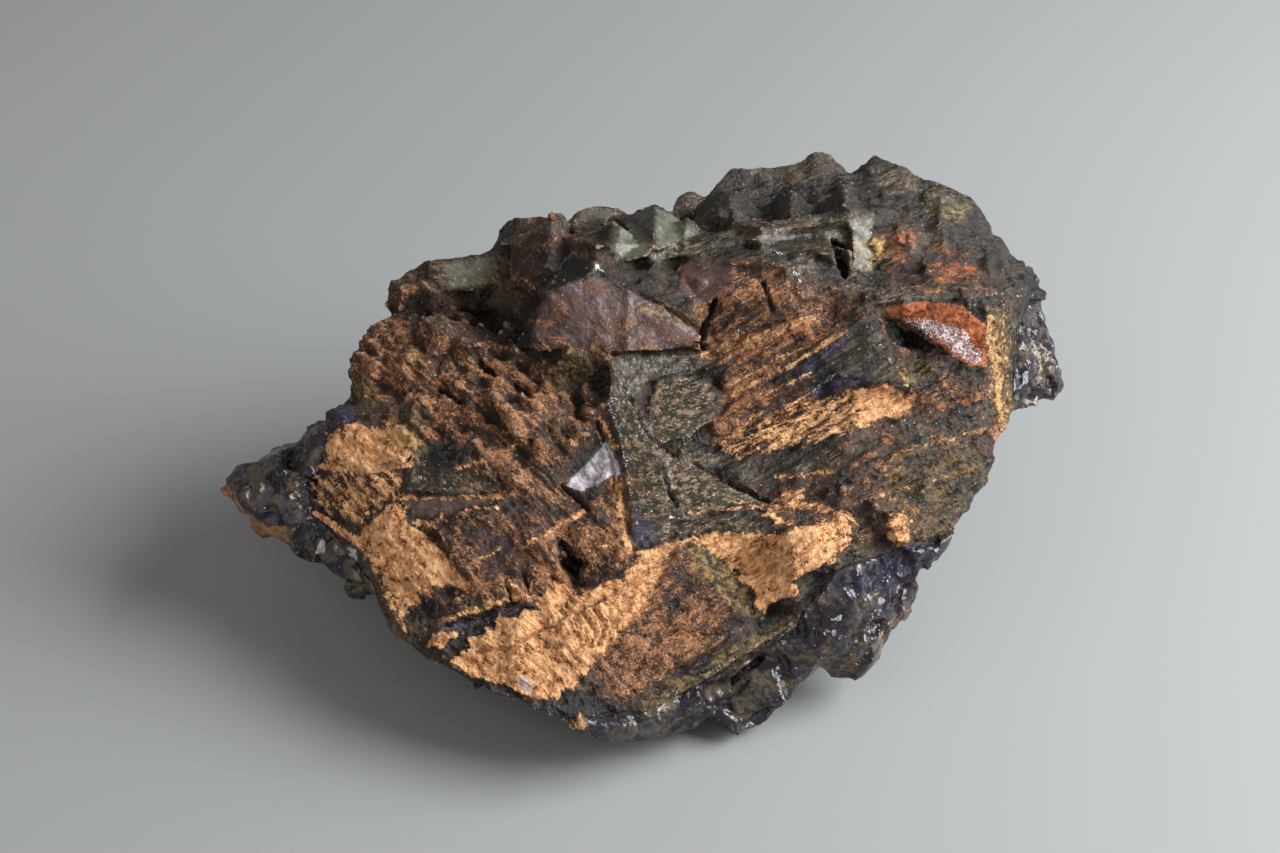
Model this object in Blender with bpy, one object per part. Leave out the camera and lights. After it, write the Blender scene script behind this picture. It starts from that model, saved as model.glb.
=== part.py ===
"""Blue john specimen: one rough block of banded fluorite, grown in stepped cubes on its crusted face
and broken on its flanks, resting on a broad break at its base.

The block is one closed faceted solid. It is drawn on a leaning plane, the way the crusted face
leans back from whoever looks at it. A landmark is (across, up, out) in millimetres: across runs to
the right, up runs up the leaning plane, and out runs from it towards the viewer. Two sheets of
triangles share the outline: the crusted face in front of it, and the underside and back behind it.
"""

import math

import bmesh
import bpy
from mathutils import Matrix, Vector, noise
from mathutils.bvhtree import BVHTree
from mathutils.geometry import delaunay_2d_cdt

NAME = "blue_john_specimen"
MM = 0.001

# Driving dimensions
PLANE_LEAN = math.radians(35.0)  # how far the plane's normal rises above the table
PLANE_HEIGHT = 52.0  # the leaning plane's origin above the table
SPREAD_PER_MM = 1.0 / 577.0  # the block widens away from the viewer by this share of its size per mm
SHOULDER_INSET = 2.6  # the break rolls in by this much behind the outline
SHOULDER_DEPTH = 9.0  # and falls back by this much
SHOULDER_CLEAR = 9.0  # wherever the outline is at least this high above the table
FACET_SIZE = 7.0  # no facet of the hidden sides or the crust has a longer edge
BREAK_RELIEF = 2.4  # how far the hackly break on the hidden sides stands out or in
BREAK_GRAIN = 9.0  # the spacing of its hollows
CRUST_RELIEF = 0.5  # the same for the crust between its creases
CRUST_GRAIN = 4.0

FOOT_CLEAR = 1.0  # the hackly break starts this far above the table
NOISE_START = Vector((3.7, 1.9, 5.3))
TOWARDS_VIEWER = Vector((0.0, -math.cos(PLANE_LEAN), math.sin(PLANE_LEAN)))

# The outline, clockwise from the west tip.
OUTLINE = [
    # west lobe, upper side
    (-83.4, -12.0, -24), (-81.8, -9.6, -25), (-80.0, -6.4, -26), (-77.2, -4.6, -27),
    (-72.4, -3.6, -27), (-69.0, -2.6, -27), (-66.8, 0.0, -27), (-64.4, 3.0, -26),
    (-61.2, 4.6, -24), (-58.8, 6.0, -20),
    # left side of the crust
    (-58.2, 10.4, -20), (-56.6, 15.8, -22), (-54.4, 20.8, -24), (-51.8, 23.6, -26),
    (-51.6, 27.4, -28), (-48.8, 30.6, -30), (-43.2, 33.4, -32), (-37.6, 34.4, -33),
    (-32.0, 34.8, -35), (-29.2, 35.8, -36),
    # row of crystals on the crest
    (-27.4, 38.8, -37), (-24.6, 41.8, -37), (-20.6, 43.2, -38), (-17.8, 42.6, -39),
    (-15.4, 41.0, -40), (-12.8, 43.8, -40), (-8.0, 44.4, -41), (-4.0, 43.8, -41),
    (-2.2, 42.6, -41), (2.0, 44.8, -36), (4.0, 44.6, -36), (6.4, 43.6, -41),
    (8.2, 45.8, -42), (10.4, 47.0, -42), (13.0, 45.8, -43),
    # highest mass
    (15.6, 49.6, -44), (18.8, 52.2, -45), (23.2, 53.2, -46), (28.6, 52.8, -47),
    (32.6, 53.6, -48), (35.2, 55.2, -48), (38.0, 54.6, -48), (42.0, 51.8, -48),
    (44.4, 53.2, -48), (46.6, 54.8, -48), (49.2, 54.4, -48), (52.2, 52.2, -47),
    (56.6, 49.6, -46), (59.6, 49.4, -45), (62.8, 47.8, -44), (67.4, 45.2, -43),
    # right shoulder
    (70.0, 40.8, -42), (71.2, 38.0, -41), (73.6, 36.6, -40), (74.6, 34.0, -39),
    (78.6, 31.8, -38), (80.6, 28.8, -36), (81.8, 25.2, -34), (80.6, 20.2, -33),
    (81.6, 15.4, -34), (84.4, 13.8, -35), (83.4, 10.2, -34), (81.2, 5.4, -32),
    (80.4, 4.0, -31), (75.0, 2.2, -26), (73.4, -2.2, -18), (72.0, -3.0, -16),
    # right flank, down to the table
    (71.4, -7.2, -15), (70.6, -11.8, -14), (67.2, -14.6, -13), (64.2, -20.8, -11),
    (60.6, -26.0, -10), (59.4, -29.4, -9), (55.0, -32.0, -9), (53.8, -35.2, -8),
    (51.6, -39.2, -7), (48.8, -43.8, -6), (47.4, -46.2, -5), (41.2, -49.6, -3),
    (33.8, -51.6, -2), (31.4, -55.0, -1), (28.8, -59.2, 0), (24.6, -62.2, 1),
    (18.4, -64.0, 3), (11.6, -63.4, 3), (2.4, -61.6, 4),
    # overhanging front rim
    (-3.0, -63.0, 9), (-6.2, -63.8, 12), (-8.6, -62.2, 15), (-13.6, -62.0, 18),
    (-16.2, -59.2, 18), (-20.0, -57.2, 17), (-25.2, -56.8, 16), (-28.0, -55.0, 15),
    (-36.8, -51.4, 11), (-42.0, -48.6, 8), (-46.0, -46.2, 5), (-47.0, -43.2, 3),
    (-49.8, -42.4, 1), (-54.2, -35.4, -4), (-57.8, -33.4, -9), (-58.0, -31.4, -10),
    # west lobe, lower side
    (-62.6, -27.8, -13), (-67.6, -25.8, -17), (-70.6, -23.2, -19), (-72.2, -21.0, -20),
    (-74.8, -21.0, -21), (-78.4, -18.2, -22), (-81.6, -14.8, -23),
]

# Edges of the crusted face: each line is a crease that no triangle crosses.
CREASES = {
    "central block, front face": [
        (-23.4, 18.0, -11), (-19.0, 27.0, -12), (-9.2, 28.6, -10), (0.0, 25.0, -10), (12.0, 20.2, -11),
        (12.4, 17.0, -9.5), (-6.4, 14.0, -7.5), (-19.0, 15.0, -9.5), (-23.4, 18.0, -11),
    ],
    "central block, top": [
        (-19.0, 27.0, -12), (-15.4, 33.6, -16), (-13.0, 35.4, -17), (-2.0, 31.6, -16),
        (9.2, 26.8, -14), (12.0, 20.2, -11),
    ],
    "hollow behind the central block": [
        (-17.6, 37.0, -33), (-8.0, 36.4, -31), (0.0, 33.6, -27), (8.6, 29.6, -20), (15.0, 23.0, -16),
    ],
    "valley behind the grainy ridge": [
        (-49.0, 22.0, -28), (-41.0, 24.0, -30), (-34.0, 22.4, -32), (-27.0, 18.0, -28),
        (-23.0, 13.0, -19), (-17.6, 11.2, -17), (-12.4, 8.0, -14),
    ],
    "grainy ridge": [
        (-56.0, 11.8, -17), (-50.0, 18.0, -19), (-42.0, 16.8, -18), (-33.0, 13.6, -15.5),
        (-25.0, 9.6, -12.5), (-19.0, 5.2, -9.5), (-12.0, 1.2, -6.5), (-8.4, -1.0, -5),
    ],
    "slab": [
        (-8.4, -1.0, -5), (-6.8, 4.6, -7), (-1.4, 5.6, -7), (3.8, -4.0, -3.5), (6.2, -14.0, 0.5),
        (-2.8, -22.6, 4.5), (-4.0, -15.0, 1.5), (-4.8, -8.0, -1.5), (-8.4, -1.0, -5),
    ],
    "rounded facet": [
        (1.6, 6.4, -9.5), (6.6, 10.2, -11.5), (14.8, 8.8, -12), (17.4, 5.0, -11), (13.2, -1.0, -8.5),
        (6.0, -2.8, -7), (1.6, 6.4, -9.5),
    ],
    "crack across the olive facets": [
        (6.6, -4.2, -7), (11.0, -8.8, -5.5), (18.0, -13.6, -3.5), (26.4, -15.6, -1.5),
    ],
    "ledge": [(18.0, 10.6, -12), (26.0, 15.2, -11), (34.6, 21.4, -10.5)],
    "long ridge": [(19.0, 2.6, -8), (28.0, 7.2, -8), (36.0, 13.2, -8.5)],
    "green corner": [
        (44.8, 22.8, -8.5), (36.0, 13.2, -8.5), (40.0, 9.8, -6.5), (56.0, 7.6, -7.5),
        (44.8, 22.8, -8.5), (40.0, 9.8, -6.5),
    ],
    "clay shelf, back": [
        (15.6, -4.6, -9.5), (24.6, 1.0, -10.5), (38.0, 5.0, -10), (46.0, 5.8, -9), (56.0, 3.6, -8),
    ],
    "clay shelf, lip": [(15.6, -8.0, -5.5), (27.8, -6.6, -4.5), (41.4, -2.0, -3.5), (56.0, -0.4, -5)],
    "right ridge": [
        (37.6, 27.6, -12), (44.0, 26.4, -10.5), (52.0, 27.0, -11), (61.0, 27.4, -12), (69.4, 25.6, -13),
        (70.6, 17.0, -12), (69.4, 8.0, -10.5), (69.0, 0.6, -10.5),
    ],
    "right block": [
        (17.0, 25.8, -13), (24.0, 27.6, -12.5), (32.0, 25.4, -11.5), (36.0, 30.0, -14.5),
        (34.0, 35.0, -18), (24.0, 36.2, -19.5), (18.6, 33.4, -18.5), (17.0, 25.8, -13),
    ],
    "brown blade": [(3.0, 35.8, -26), (12.0, 37.4, -24), (24.0, 38.0, -24), (35.0, 37.6, -26)],
    "plateau": [(2.0, 38.6, -33), (18.0, 41.6, -36), (32.0, 43.6, -37), (44.0, 43.2, -33.5)],
    "grey wall": [(44.0, 43.2, -33.5), (46.6, 38.4, -30), (44.4, 31.6, -26.5)],
    "top right hollow": [(47.8, 31.0, -29.5), (54.0, 31.8, -31), (62.0, 31.4, -31), (70.0, 29.6, -28)],
    "top right wall": [(52.0, 43.8, -35), (61.0, 39.8, -33), (72.0, 33.8, -32)],
    "olive facets, lower edge": [
        (9.0, -20.0, 3.5), (18.0, -20.6, 4), (26.0, -18.6, 2.5), (34.0, -17.0, 0.5),
    ],
    "front pyramid": [
        (8.4, -23.4, 7), (16.0, -32.0, 8.5), (21.4, -38.8, 9), (22.6, -43.0, 9.5), (12.0, -49.0, 12),
        (2.0, -53.6, 13.5), (-10.0, -53.0, 15.5), (-6.4, -44.4, 12.5), (0.0, -34.0, 9), (8.4, -23.4, 7),
    ],
    "clay trough": [(13.4, -23.8, 3), (19.4, -29.0, 1), (25.0, -36.4, 3.5)],
    "triangular hole": [(-17.2, -22.0, 2.5), (-10.8, -26.6, 3), (-12.8, -31.4, 5), (-17.2, -22.0, 2.5)],
    "dark wedge": [
        (-43.4, -2.8, -8), (-37.0, -9.4, -3.5), (-24.8, -14.0, 0.5), (-36.0, -15.0, -1),
        (-46.4, -14.6, -5), (-43.4, -2.8, -8),
    ],
    "west clay block, top": [(-60.0, 3.2, -15.5), (-52.0, 4.2, -13), (-45.4, 2.0, -10.5)],
    "west clay block, foot": [(-64.0, -8.0, -14), (-55.0, -8.8, -9), (-48.2, -8.6, -7.5)],
    "crust rim": [
        (-63.6, -18.0, -13), (-54.6, -28.6, -3.5), (-50.6, -36.0, 0.5), (-46.4, -41.0, 4.5),
        (-41.0, -45.8, 8.5), (-33.0, -50.4, 12.5), (-26.0, -53.4, 15.5), (-18.0, -55.8, 17.5),
        (-11.0, -58.4, 17), (-3.0, -59.2, 14.5), (4.0, -57.0, 13), (13.0, -52.0, 11.5), (24.0, -45.4, 9.5),
        (34.0, -38.6, 7.5), (44.0, -32.6, 4.5), (52.4, -27.0, 0), (60.0, -19.5, -5), (65.6, -11.5, -9),
        (69.4, -4.6, -12),
    ],
    "purple flank": [
        (6.0, -60.0, 7), (15.0, -57.6, 5), (25.0, -52.4, 3.5), (36.0, -45.4, 1), (45.0, -38.8, -2),
        (53.0, -31.4, -5.5), (57.4, -26.6, -8),
    ],
}

# Single corners and hollows of the crusted face.
CORNERS = [
    # upper left block and the crystals on the crest
    (-49.4, 27.2, -26), (-42.0, 29.6, -27), (-34.0, 29.4, -28), (-28.0, 30.0, -29), (-22.4, 33.6, -31),
    (-24.6, 37.4, -35), (-21.0, 39.4, -35), (-13.0, 39.8, -37), (-8.0, 41.0, -38), (3.0, 41.8, -37),
    (10.0, 43.4, -40), (-21.6, 24.0, -24),
    # between the central block and the right block
    (14.0, 29.4, -17.5), (12.4, 33.0, -20.5), (14.6, 17.4, -14.5), (22.0, 21.4, -12.5),
    # top
    (16.0, 45.8, -42), (26.0, 46.4, -43), (34.0, 48.4, -43), (41.0, 47.8, -41), (48.0, 49.4, -44),
    (56.0, 46.2, -41), (65.0, 41.4, -38), (54.0, 37.0, -30), (63.0, 35.0, -30), (76.0, 30.0, -33),
    # orange pocket and the slopes beside it
    (49.6, 22.6, -11), (57.0, 23.4, -12.5), (64.0, 22.0, -12.5), (54.0, 17.4, -16), (61.0, 16.0, -15),
    (63.0, 9.2, -9), (50.4, 14.8, -11.5), (30.0, 12.6, -12), (27.0, 21.6, -10.5), (38.6, 20.6, -12),
    # shelves under the central block
    (-5.6, 10.6, -11.5), (3.0, 12.2, -12), (11.0, 13.0, -12.5), (19.0, 7.0, -11.5),
    # east flank
    (75.4, 24.0, -24), (75.0, 15.0, -23), (74.6, 7.0, -21), (79.4, 20.0, -28), (79.6, 12.0, -28),
    (77.6, 6.4, -25),
    # right slope of the crust
    (34.0, -11.0, -1.5), (45.0, -9.4, -2), (57.0, -7.0, -5), (64.0, -4.0, -8), (62.0, 3.0, -8),
    (44.0, -17.0, 0), (55.0, -15.6, -4), (48.0, -23.0, 0.5), (49.6, -20.2, 2.5), (53.2, -20.8, 1),
    # clay lumps
    (27.0, -19.8, 3.5), (35.4, -22.2, 5), (39.0, -26.0, 4.5), (31.6, -30.6, 6), (30.8, -35.0, 6),
    (37.0, -33.0, 5),
    # front clay
    (-40.0, -41.0, 7.5), (-32.0, -45.6, 11), (-24.0, -41.0, 10.5), (-16.0, -37.0, 9.5), (-6.0, -31.0, 7.5),
    (0.0, -27.4, 6.5), (-16.0, -47.0, 13.5), (-24.0, -49.0, 14), (-33.0, -36.0, 7.5), (-26.0, -27.0, 5),
    (-35.0, -24.0, 1.5), (-43.0, -29.0, 1), (-49.0, -24.0, -2), (-20.0, -30.0, 6.5), (-13.4, -26.6, -3),
    # slopes beside the dark wedge
    (-30.0, -5.4, -4.5), (-36.0, 4.0, -11), (-26.0, 1.6, -7.5), (-17.0, -5.0, -4), (-16.0, -13.4, -1),
    (-9.6, -10.6, -2.5), (-9.0, -20.0, 3), (-46.0, 9.0, -14.5),
    # west clay block and west lobe
    (-59.0, -15.6, -11), (-54.0, -19.0, -7), (-50.0, -13.6, -6.5), (-55.0, 1.4, -11.5), (-60.6, -3.4, -13),
    (-66.4, -5.0, -17.5), (-66.0, -13.0, -15), (-72.0, -8.0, -17.5), (-78.0, -9.4, -19),
    (-75.0, -16.6, -15.5), (-68.6, -20.6, -13.5), (-80.0, -13.4, -19.5), (-71.0, -14.0, -13.5),
    # under the crust rim
    (14.0, -60.2, 2.5), (22.0, -58.4, 1.5), (26.0, -47.6, 2), (20.6, -51.8, 1.5), (-57.0, -29.6, -8),
    (-52.6, -36.8, -3), (-8.0, -60.8, 13.5),
]

# Crystal cubes standing out of the crust, each with a corner towards the viewer. Of each group: how
# many degrees above the viewer the corners point, and how far the cubes are rolled about that line;
# unrolled, an edge runs straight down from the corner. Then (across, up, side) of each cube.
CRYSTALS = {
    "crest, edge up": (4, 176, [
        (3.0, 35.6, 13.0), (-20.8, 36.4, 12.5), (10.4, 42.0, 8.0), (48.0, 47.0, 10.0), (35.4, 48.0, 9.0),
        (22.0, 46.4, 10.5),
    ]),
    "crest, edge down": (24, -6, [
        (-9.6, 37.2, 11.0), (-37.6, 29.4, 11.5), (-48.0, 26.0, 10.0), (63.4, 41.6, 9.0), (28.0, 42.6, 8.5),
        (55.0, 40.0, 8.0),
    ]),
    "beside the central block": (20, -6, [(33.6, 33.4, 9.0), (42.2, 36.6, 9.0), (14.4, 31.0, 8.0)]),
    "grainy ridge": (16, -10, [
        (-20.4, 10.4, 8.0), (-13.4, 6.6, 7.5), (-22.6, 1.0, 7.5), (-29.0, 13.2, 9.0), (-37.0, 15.6, 9.0),
        (-45.0, 18.0, 9.5), (-32.0, 4.8, 8.0), (-40.4, 8.8, 8.0), (-27.4, -3.0, 7.0), (-50.0, 12.0, 8.0),
        (-14.6, -1.4, 6.5), (-50.4, 3.0, 6.0),
    ]),
    "front": (12, -6, [(-13.0, -24.6, 6.5), (-21.4, -28.0, 7.0), (-27.4, -26.4, 6.5)]),
}
CRYSTAL_SUNK = 0.52  # of a cube's side, from the crust down to its middle

# The hidden sides, as (x, y, z) in millimetres with z above the table and y away from the viewer.
# The foot is the flat break that it stands on.
FOOT = [
    (2, -28, 0), (12, -27, 0), (19, -30, 0), (27, -24, 0), (34, -13, 0), (37, -1, 0), (45, 5, 0),
    (49, 24, 0), (43, 35, 0), (41, 47, 0), (27, 49, 0), (12, 56, 0), (1, 50, 0), (-17, 52, 0),
    (-27, 41, 0), (-38, 33, 0), (-41, 18, 0), (-34, 6, 0), (-37, -6, 0), (-24, -15, 0), (-14, -24, 0),
]
HIDDEN = {
    "underside, left": [(-60, 12, 18), (-52, -8, 14), (-38, -28, 12), (-15, -40, 10), (-70, 14, 22)],
    "underside, right": [(60, 14, 15), (70, 30, 24), (76, 46, 30)],
    "back wall, low": [(54, 62, 14), (20, 70, 12), (-15, 64, 12), (-43, 48, 14), (-60, 32, 20)],
    "back wall, middle": [
        (70, 66, 38), (45, 80, 38), (12, 79, 36), (-18, 71, 34), (-43, 57, 36), (-58, 37, 34),
    ],
    "back wall, high": [(58, 76, 55), (32, 82, 60), (0, 72, 53), (-30, 64, 48), (-46, 54, 46)],
}


def world_from_plane(point):
    """A landmark on the leaning plane, in world millimetres."""
    across, up, out = point
    spread = 1.0 - out * SPREAD_PER_MM
    rise, run = math.sin(PLANE_LEAN), math.cos(PLANE_LEAN)
    back = up * spread * rise - out * run
    height = up * spread * run + out * rise + PLANE_HEIGHT
    return Vector((across * spread, back, height))


def plane_from_world(point):
    """A world point, in millimetres, as a landmark on the leaning plane."""
    x, y, z = point
    rise, run = math.sin(PLANE_LEAN), math.cos(PLANE_LEAN)
    out = (z - PLANE_HEIGHT) * rise - y * run
    up = (z - PLANE_HEIGHT) * run + y * rise
    spread = 1.0 - out * SPREAD_PER_MM
    return (x / spread, up / spread, out)


def shoulder(outline):
    """The outline rolled in and back, so that the break doesn't end in a knife edge there."""
    ring = []
    count = len(outline)
    for i, (across, up, out) in enumerate(outline):
        before, after = outline[i - 1], outline[(i + 1) % count]
        along = Vector((after[0] - before[0], after[1] - before[1])).normalized()
        inward = Vector((along.y, -along.x))
        inset = inward * SHOULDER_INSET
        if i % 2 == 0 and world_from_plane((across, up, out)).z > SHOULDER_CLEAR:
            ring.append((across + inset.x, up + inset.y, out - SHOULDER_DEPTH))
    return ring


def sheet(outline, creases, corners):
    """Triangles over the outline through the creases and corners, as (landmarks, index triples)."""
    landmarks = list(outline)
    edges = [(i, (i + 1) % len(outline)) for i in range(len(outline))]
    for crease in creases:
        landmarks += [point for point in dict.fromkeys(crease) if point not in landmarks]
        along = [landmarks.index(point) for point in crease]
        edges += list(zip(along, along[1:]))
    landmarks += corners
    flat = [Vector(point[:2]) for point in landmarks]
    places, _edges, triangles, sources = delaunay_2d_cdt(flat, edges, [], 1, 1e-5)[:4]
    if len(places) != len(landmarks):
        raise ValueError("two landmarks coincide, or two creases cross")
    order = [source[0] for source in sources]
    return landmarks, [tuple(order[i] for i in triangle) for triangle in triangles]


def facing_out(landmarks, triangle, towards_viewer):
    """The triangle wound so that it faces the viewer, or away."""
    a, b, c = (Vector(landmarks[i][:2]) for i in triangle)
    turned = (b - a).cross(c - a) > 0
    return triangle if turned == towards_viewer else triangle[::-1]


def block():
    """The closed solid, as a bmesh in metres."""
    foot = [plane_from_world(point) for point in FOOT]
    hidden = [plane_from_world(point) for line in HIDDEN.values() for point in line]
    front, front_triangles = sheet(OUTLINE, CREASES.values(), CORNERS)
    back, back_triangles = sheet(OUTLINE, [foot + foot[:1]], shoulder(OUTLINE) + hidden)

    bm = bmesh.new()
    rim = [bm.verts.new(world_from_plane(point) * MM) for point in OUTLINE]
    sides = ((front, front_triangles, True), (back, back_triangles, False))
    for landmarks, triangles, towards_viewer in sides:
        corners = rim + [bm.verts.new(world_from_plane(point) * MM) for point in landmarks[len(rim):]]
        for triangle in triangles:
            bm.faces.new([corners[i] for i in facing_out(landmarks, triangle, towards_viewer)])
    for corner in bm.verts:
        if abs(corner.co.z) < 1e-6:
            corner.co.z = 0.0
    return bm


def hackly(bm):
    """Breaks the large facets up and roughens them, leaving the landmarks and the foot in place."""
    for _round in range(3):
        long_edges = [e for e in bm.edges if e.calc_length() > FACET_SIZE * MM]
        kept = set(bm.verts)
        bmesh.ops.subdivide_edges(bm, edges=long_edges, cuts=1)
        bmesh.ops.triangulate(bm, faces=bm.faces, quad_method="BEAUTY", ngon_method="BEAUTY")
        bm.normal_update()
        for corner in [v for v in bm.verts if v not in kept and v.co.z > FOOT_CLEAR * MM]:
            hidden = corner.normal.dot(TOWARDS_VIEWER) < 0.0
            relief, grain = (BREAK_RELIEF, BREAK_GRAIN) if hidden else (CRUST_RELIEF, CRUST_GRAIN)
            stands_out = noise.cell(corner.co / (grain * MM) + NOISE_START) - 0.5
            stands_out += noise.noise(corner.co / (grain * MM) + NOISE_START)
            corner.co += corner.normal * stands_out * relief * MM * 0.5


def growth_direction(lean, roll):
    """The turn that the cubes of a group share, from its angles in degrees."""
    upright = Vector((0.0, math.sin(PLANE_LEAN), math.cos(PLANE_LEAN)))
    edges = []
    for thirds in range(3):
        around = math.pi / 2 + math.tau / 3 * thirds + math.radians(roll)
        on_plane = Vector((math.cos(around), 0.0, 0.0)) + upright * math.sin(around)
        edges.append(on_plane * math.sqrt(2 / 3) + TOWARDS_VIEWER * math.sqrt(1 / 3))
    return Matrix.Rotation(-math.radians(lean), 4, "X") @ Matrix(edges).transposed().to_4x4()


def crystal(surface, direction, across, up, side):
    """A cube sunk into the crust, as an object."""
    seen_from = world_from_plane((across, up, 60.0)) * MM
    landing = surface.ray_cast(seen_from, -TOWARDS_VIEWER)[0]
    middle = landing - TOWARDS_VIEWER * side * CRYSTAL_SUNK * MM
    bm = bmesh.new()
    bmesh.ops.create_cube(bm, size=side * MM, matrix=Matrix.Translation(middle) @ direction)
    return mesh_object("crystal", bm)


def mesh_object(name, bm):
    """An object with the bmesh's shape. The bmesh is freed."""
    mesh = bpy.data.meshes.new(name)
    bm.to_mesh(mesh)
    bm.free()
    obj = bpy.data.objects.new(name, mesh)
    bpy.context.scene.collection.objects.link(obj)
    return obj


def joined(base, addition):
    """Grows the addition onto the base, and removes it."""
    modifier = base.modifiers.new("grown_on", "BOOLEAN")
    modifier.operation = "UNION"
    modifier.solver = "EXACT"
    modifier.object = addition
    bpy.context.view_layer.objects.active = base
    bpy.ops.object.modifier_apply(modifier=modifier.name)
    bpy.data.objects.remove(addition)


def centred(mesh):
    """Moves the origin to the middle of the block's box, on the table."""
    xs = [v.co.x for v in mesh.vertices]
    ys = [v.co.y for v in mesh.vertices]
    mesh.transform(Matrix.Translation((-(min(xs) + max(xs)) / 2, -(min(ys) + max(ys)) / 2, 0.0)))


def stone_material():
    material = bpy.data.materials.new("crusted_fluorite")
    material.use_nodes = True
    shader = material.node_tree.nodes["Principled BSDF"]
    shader.inputs["Base Color"].default_value = (0.13, 0.075, 0.05, 1.0)
    shader.inputs["Roughness"].default_value = 0.6
    shader.inputs["Metallic"].default_value = 0.0
    return material


def main():
    for obj in list(bpy.data.objects):
        bpy.data.objects.remove(obj)
    bm = block()
    hackly(bm)
    surface = BVHTree.FromBMesh(bm)
    specimen = mesh_object(NAME, bm)
    for lean, roll, cubes in CRYSTALS.values():
        for cube in cubes:
            joined(specimen, crystal(surface, growth_direction(lean, roll), *cube))
    centred(specimen.data)
    specimen.data.materials.append(stone_material())


main()
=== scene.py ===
"""Looks of the blue john specimen: a block of purple fluorite, its crust of intergrown stepped cubes
stained by iron and smeared with ochre clay, and its flanks broken and glassy.

Places on the crust are given in pixels of the 1280 x 853 frame that the camera sees, and are cast
onto the stone from there. Sizes are in millimetres unless a name says otherwise.
"""

import math
from itertools import product
from types import SimpleNamespace

import bmesh
import bpy
import numpy as np
from mathutils import Euler, Matrix, Vector
from mathutils.bvhtree import BVHTree
from mathutils.kdtree import KDTree


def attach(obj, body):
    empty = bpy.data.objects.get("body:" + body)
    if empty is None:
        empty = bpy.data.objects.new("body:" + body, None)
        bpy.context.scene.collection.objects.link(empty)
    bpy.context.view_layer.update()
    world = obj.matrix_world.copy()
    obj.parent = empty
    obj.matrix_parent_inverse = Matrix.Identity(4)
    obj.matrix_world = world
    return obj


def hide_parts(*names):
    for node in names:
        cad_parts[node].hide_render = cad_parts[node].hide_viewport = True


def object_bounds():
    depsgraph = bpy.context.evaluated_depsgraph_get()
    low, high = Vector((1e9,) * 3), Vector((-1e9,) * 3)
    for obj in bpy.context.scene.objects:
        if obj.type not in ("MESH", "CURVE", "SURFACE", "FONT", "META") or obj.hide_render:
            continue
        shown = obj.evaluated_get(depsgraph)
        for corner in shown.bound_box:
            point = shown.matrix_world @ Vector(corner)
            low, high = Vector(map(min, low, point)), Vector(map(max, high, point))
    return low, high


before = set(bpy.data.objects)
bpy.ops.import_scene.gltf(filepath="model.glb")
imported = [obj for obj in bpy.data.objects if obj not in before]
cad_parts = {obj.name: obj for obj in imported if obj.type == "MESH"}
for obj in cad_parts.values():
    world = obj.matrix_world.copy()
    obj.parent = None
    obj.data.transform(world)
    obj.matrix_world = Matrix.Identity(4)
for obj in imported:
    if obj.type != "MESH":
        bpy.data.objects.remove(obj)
cad_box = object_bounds()

NODE = "blue_john_specimen"
MM = 0.001
FRAME_WIDTH, FRAME_HEIGHT = 1280, 853
VIEW_RISE = math.radians(35.0)  # the camera looks down on the crust by this much
EYE_DISTANCE = 577.0  # from the middle of the crusted face
FACE_MIDDLE = Vector((-1.1, -16.5, 52.0))
LENS, SENSOR = 50.0, 22.2
PIXELS_PER_SLOPE = LENS / SENSOR * FRAME_WIDTH
TO_EYE = Vector((0.0, -math.cos(VIEW_RISE), math.sin(VIEW_RISE)))
FRAME_UP = np.array((0.0, math.sin(VIEW_RISE), math.cos(VIEW_RISE)))
EYE = FACE_MIDDLE + TO_EYE * EYE_DISTANCE

VOXEL = 0.55  # of the fine mesh
MOST_TRIANGLES = 190000
ROOM = 0.012  # how far the fine shape may stand past the block, as a share of each side
EDGE_GAIN = 0.12  # of the edge mark, for each standard deviation of how far the vertices stand out
TALL_REACH = 40  # rounds of smoothing from which the tall mark is measured
TALL_GAIN = 0.35  # of the tall mark, for each millimetre
rng = np.random.default_rng(20)


# ---------------------------------------------------------------- places seen from the camera


def seen(points):
    """Pixel column, pixel row and depth of each point, from an (n, 3) array in millimetres."""
    away = points - np.array(EYE)
    depth = away @ -np.array(TO_EYE)
    column = FRAME_WIDTH / 2 + away[:, 0] / depth * PIXELS_PER_SLOPE
    row = FRAME_HEIGHT / 2 - away @ FRAME_UP / depth * PIXELS_PER_SLOPE
    return column, row, depth


def landed(surface, pixel):
    """Where the camera's ray through a pixel meets the stone, and the normal there, in millimetres."""
    column, row = pixel
    across = (column - FRAME_WIDTH / 2) / PIXELS_PER_SLOPE
    up = (FRAME_HEIGHT / 2 - row) / PIXELS_PER_SLOPE
    ray = Vector((across, 0.0, 0.0)) + Vector(FRAME_UP) * up - TO_EYE
    place, normal = surface.ray_cast(EYE * MM, ray)[:2]
    return place / MM, normal


def smooth(low, high, value):
    """0 below low, 1 above high, with an easy slope between."""
    t = np.clip((value - low) / (high - low), 0.0, 1.0)
    return t * t * (3.0 - 2.0 * t)


def line_distance(x, y, line):
    """Distance in pixels to a line of points."""
    best = np.full(x.shape, 1e9)
    for (ax, ay), (bx, by) in zip(line, line[1:]):
        dx, dy = bx - ax, by - ay
        t = np.clip(((x - ax) * dx + (y - ay) * dy) / (dx * dx + dy * dy), 0.0, 1.0)
        best = np.minimum(best, np.hypot(x - ax - t * dx, y - ay - t * dy))
    return best


def patch(x, y, corners, feather):
    """1 inside a polygon of pixels, falling to 0 over the feather around its edge."""
    inside = np.zeros(x.shape, bool)
    for (ax, ay), (bx, by) in zip(corners, corners[1:] + corners[:1]):
        crosses = (ay > y) != (by > y)
        reach = ax + (y - ay) / ((by - ay) or 1e-9) * (bx - ax)
        inside ^= crosses & (x < reach)
    gap = line_distance(x, y, corners + corners[:1])
    return smooth(-feather, feather, np.where(inside, gap, -gap))


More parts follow.
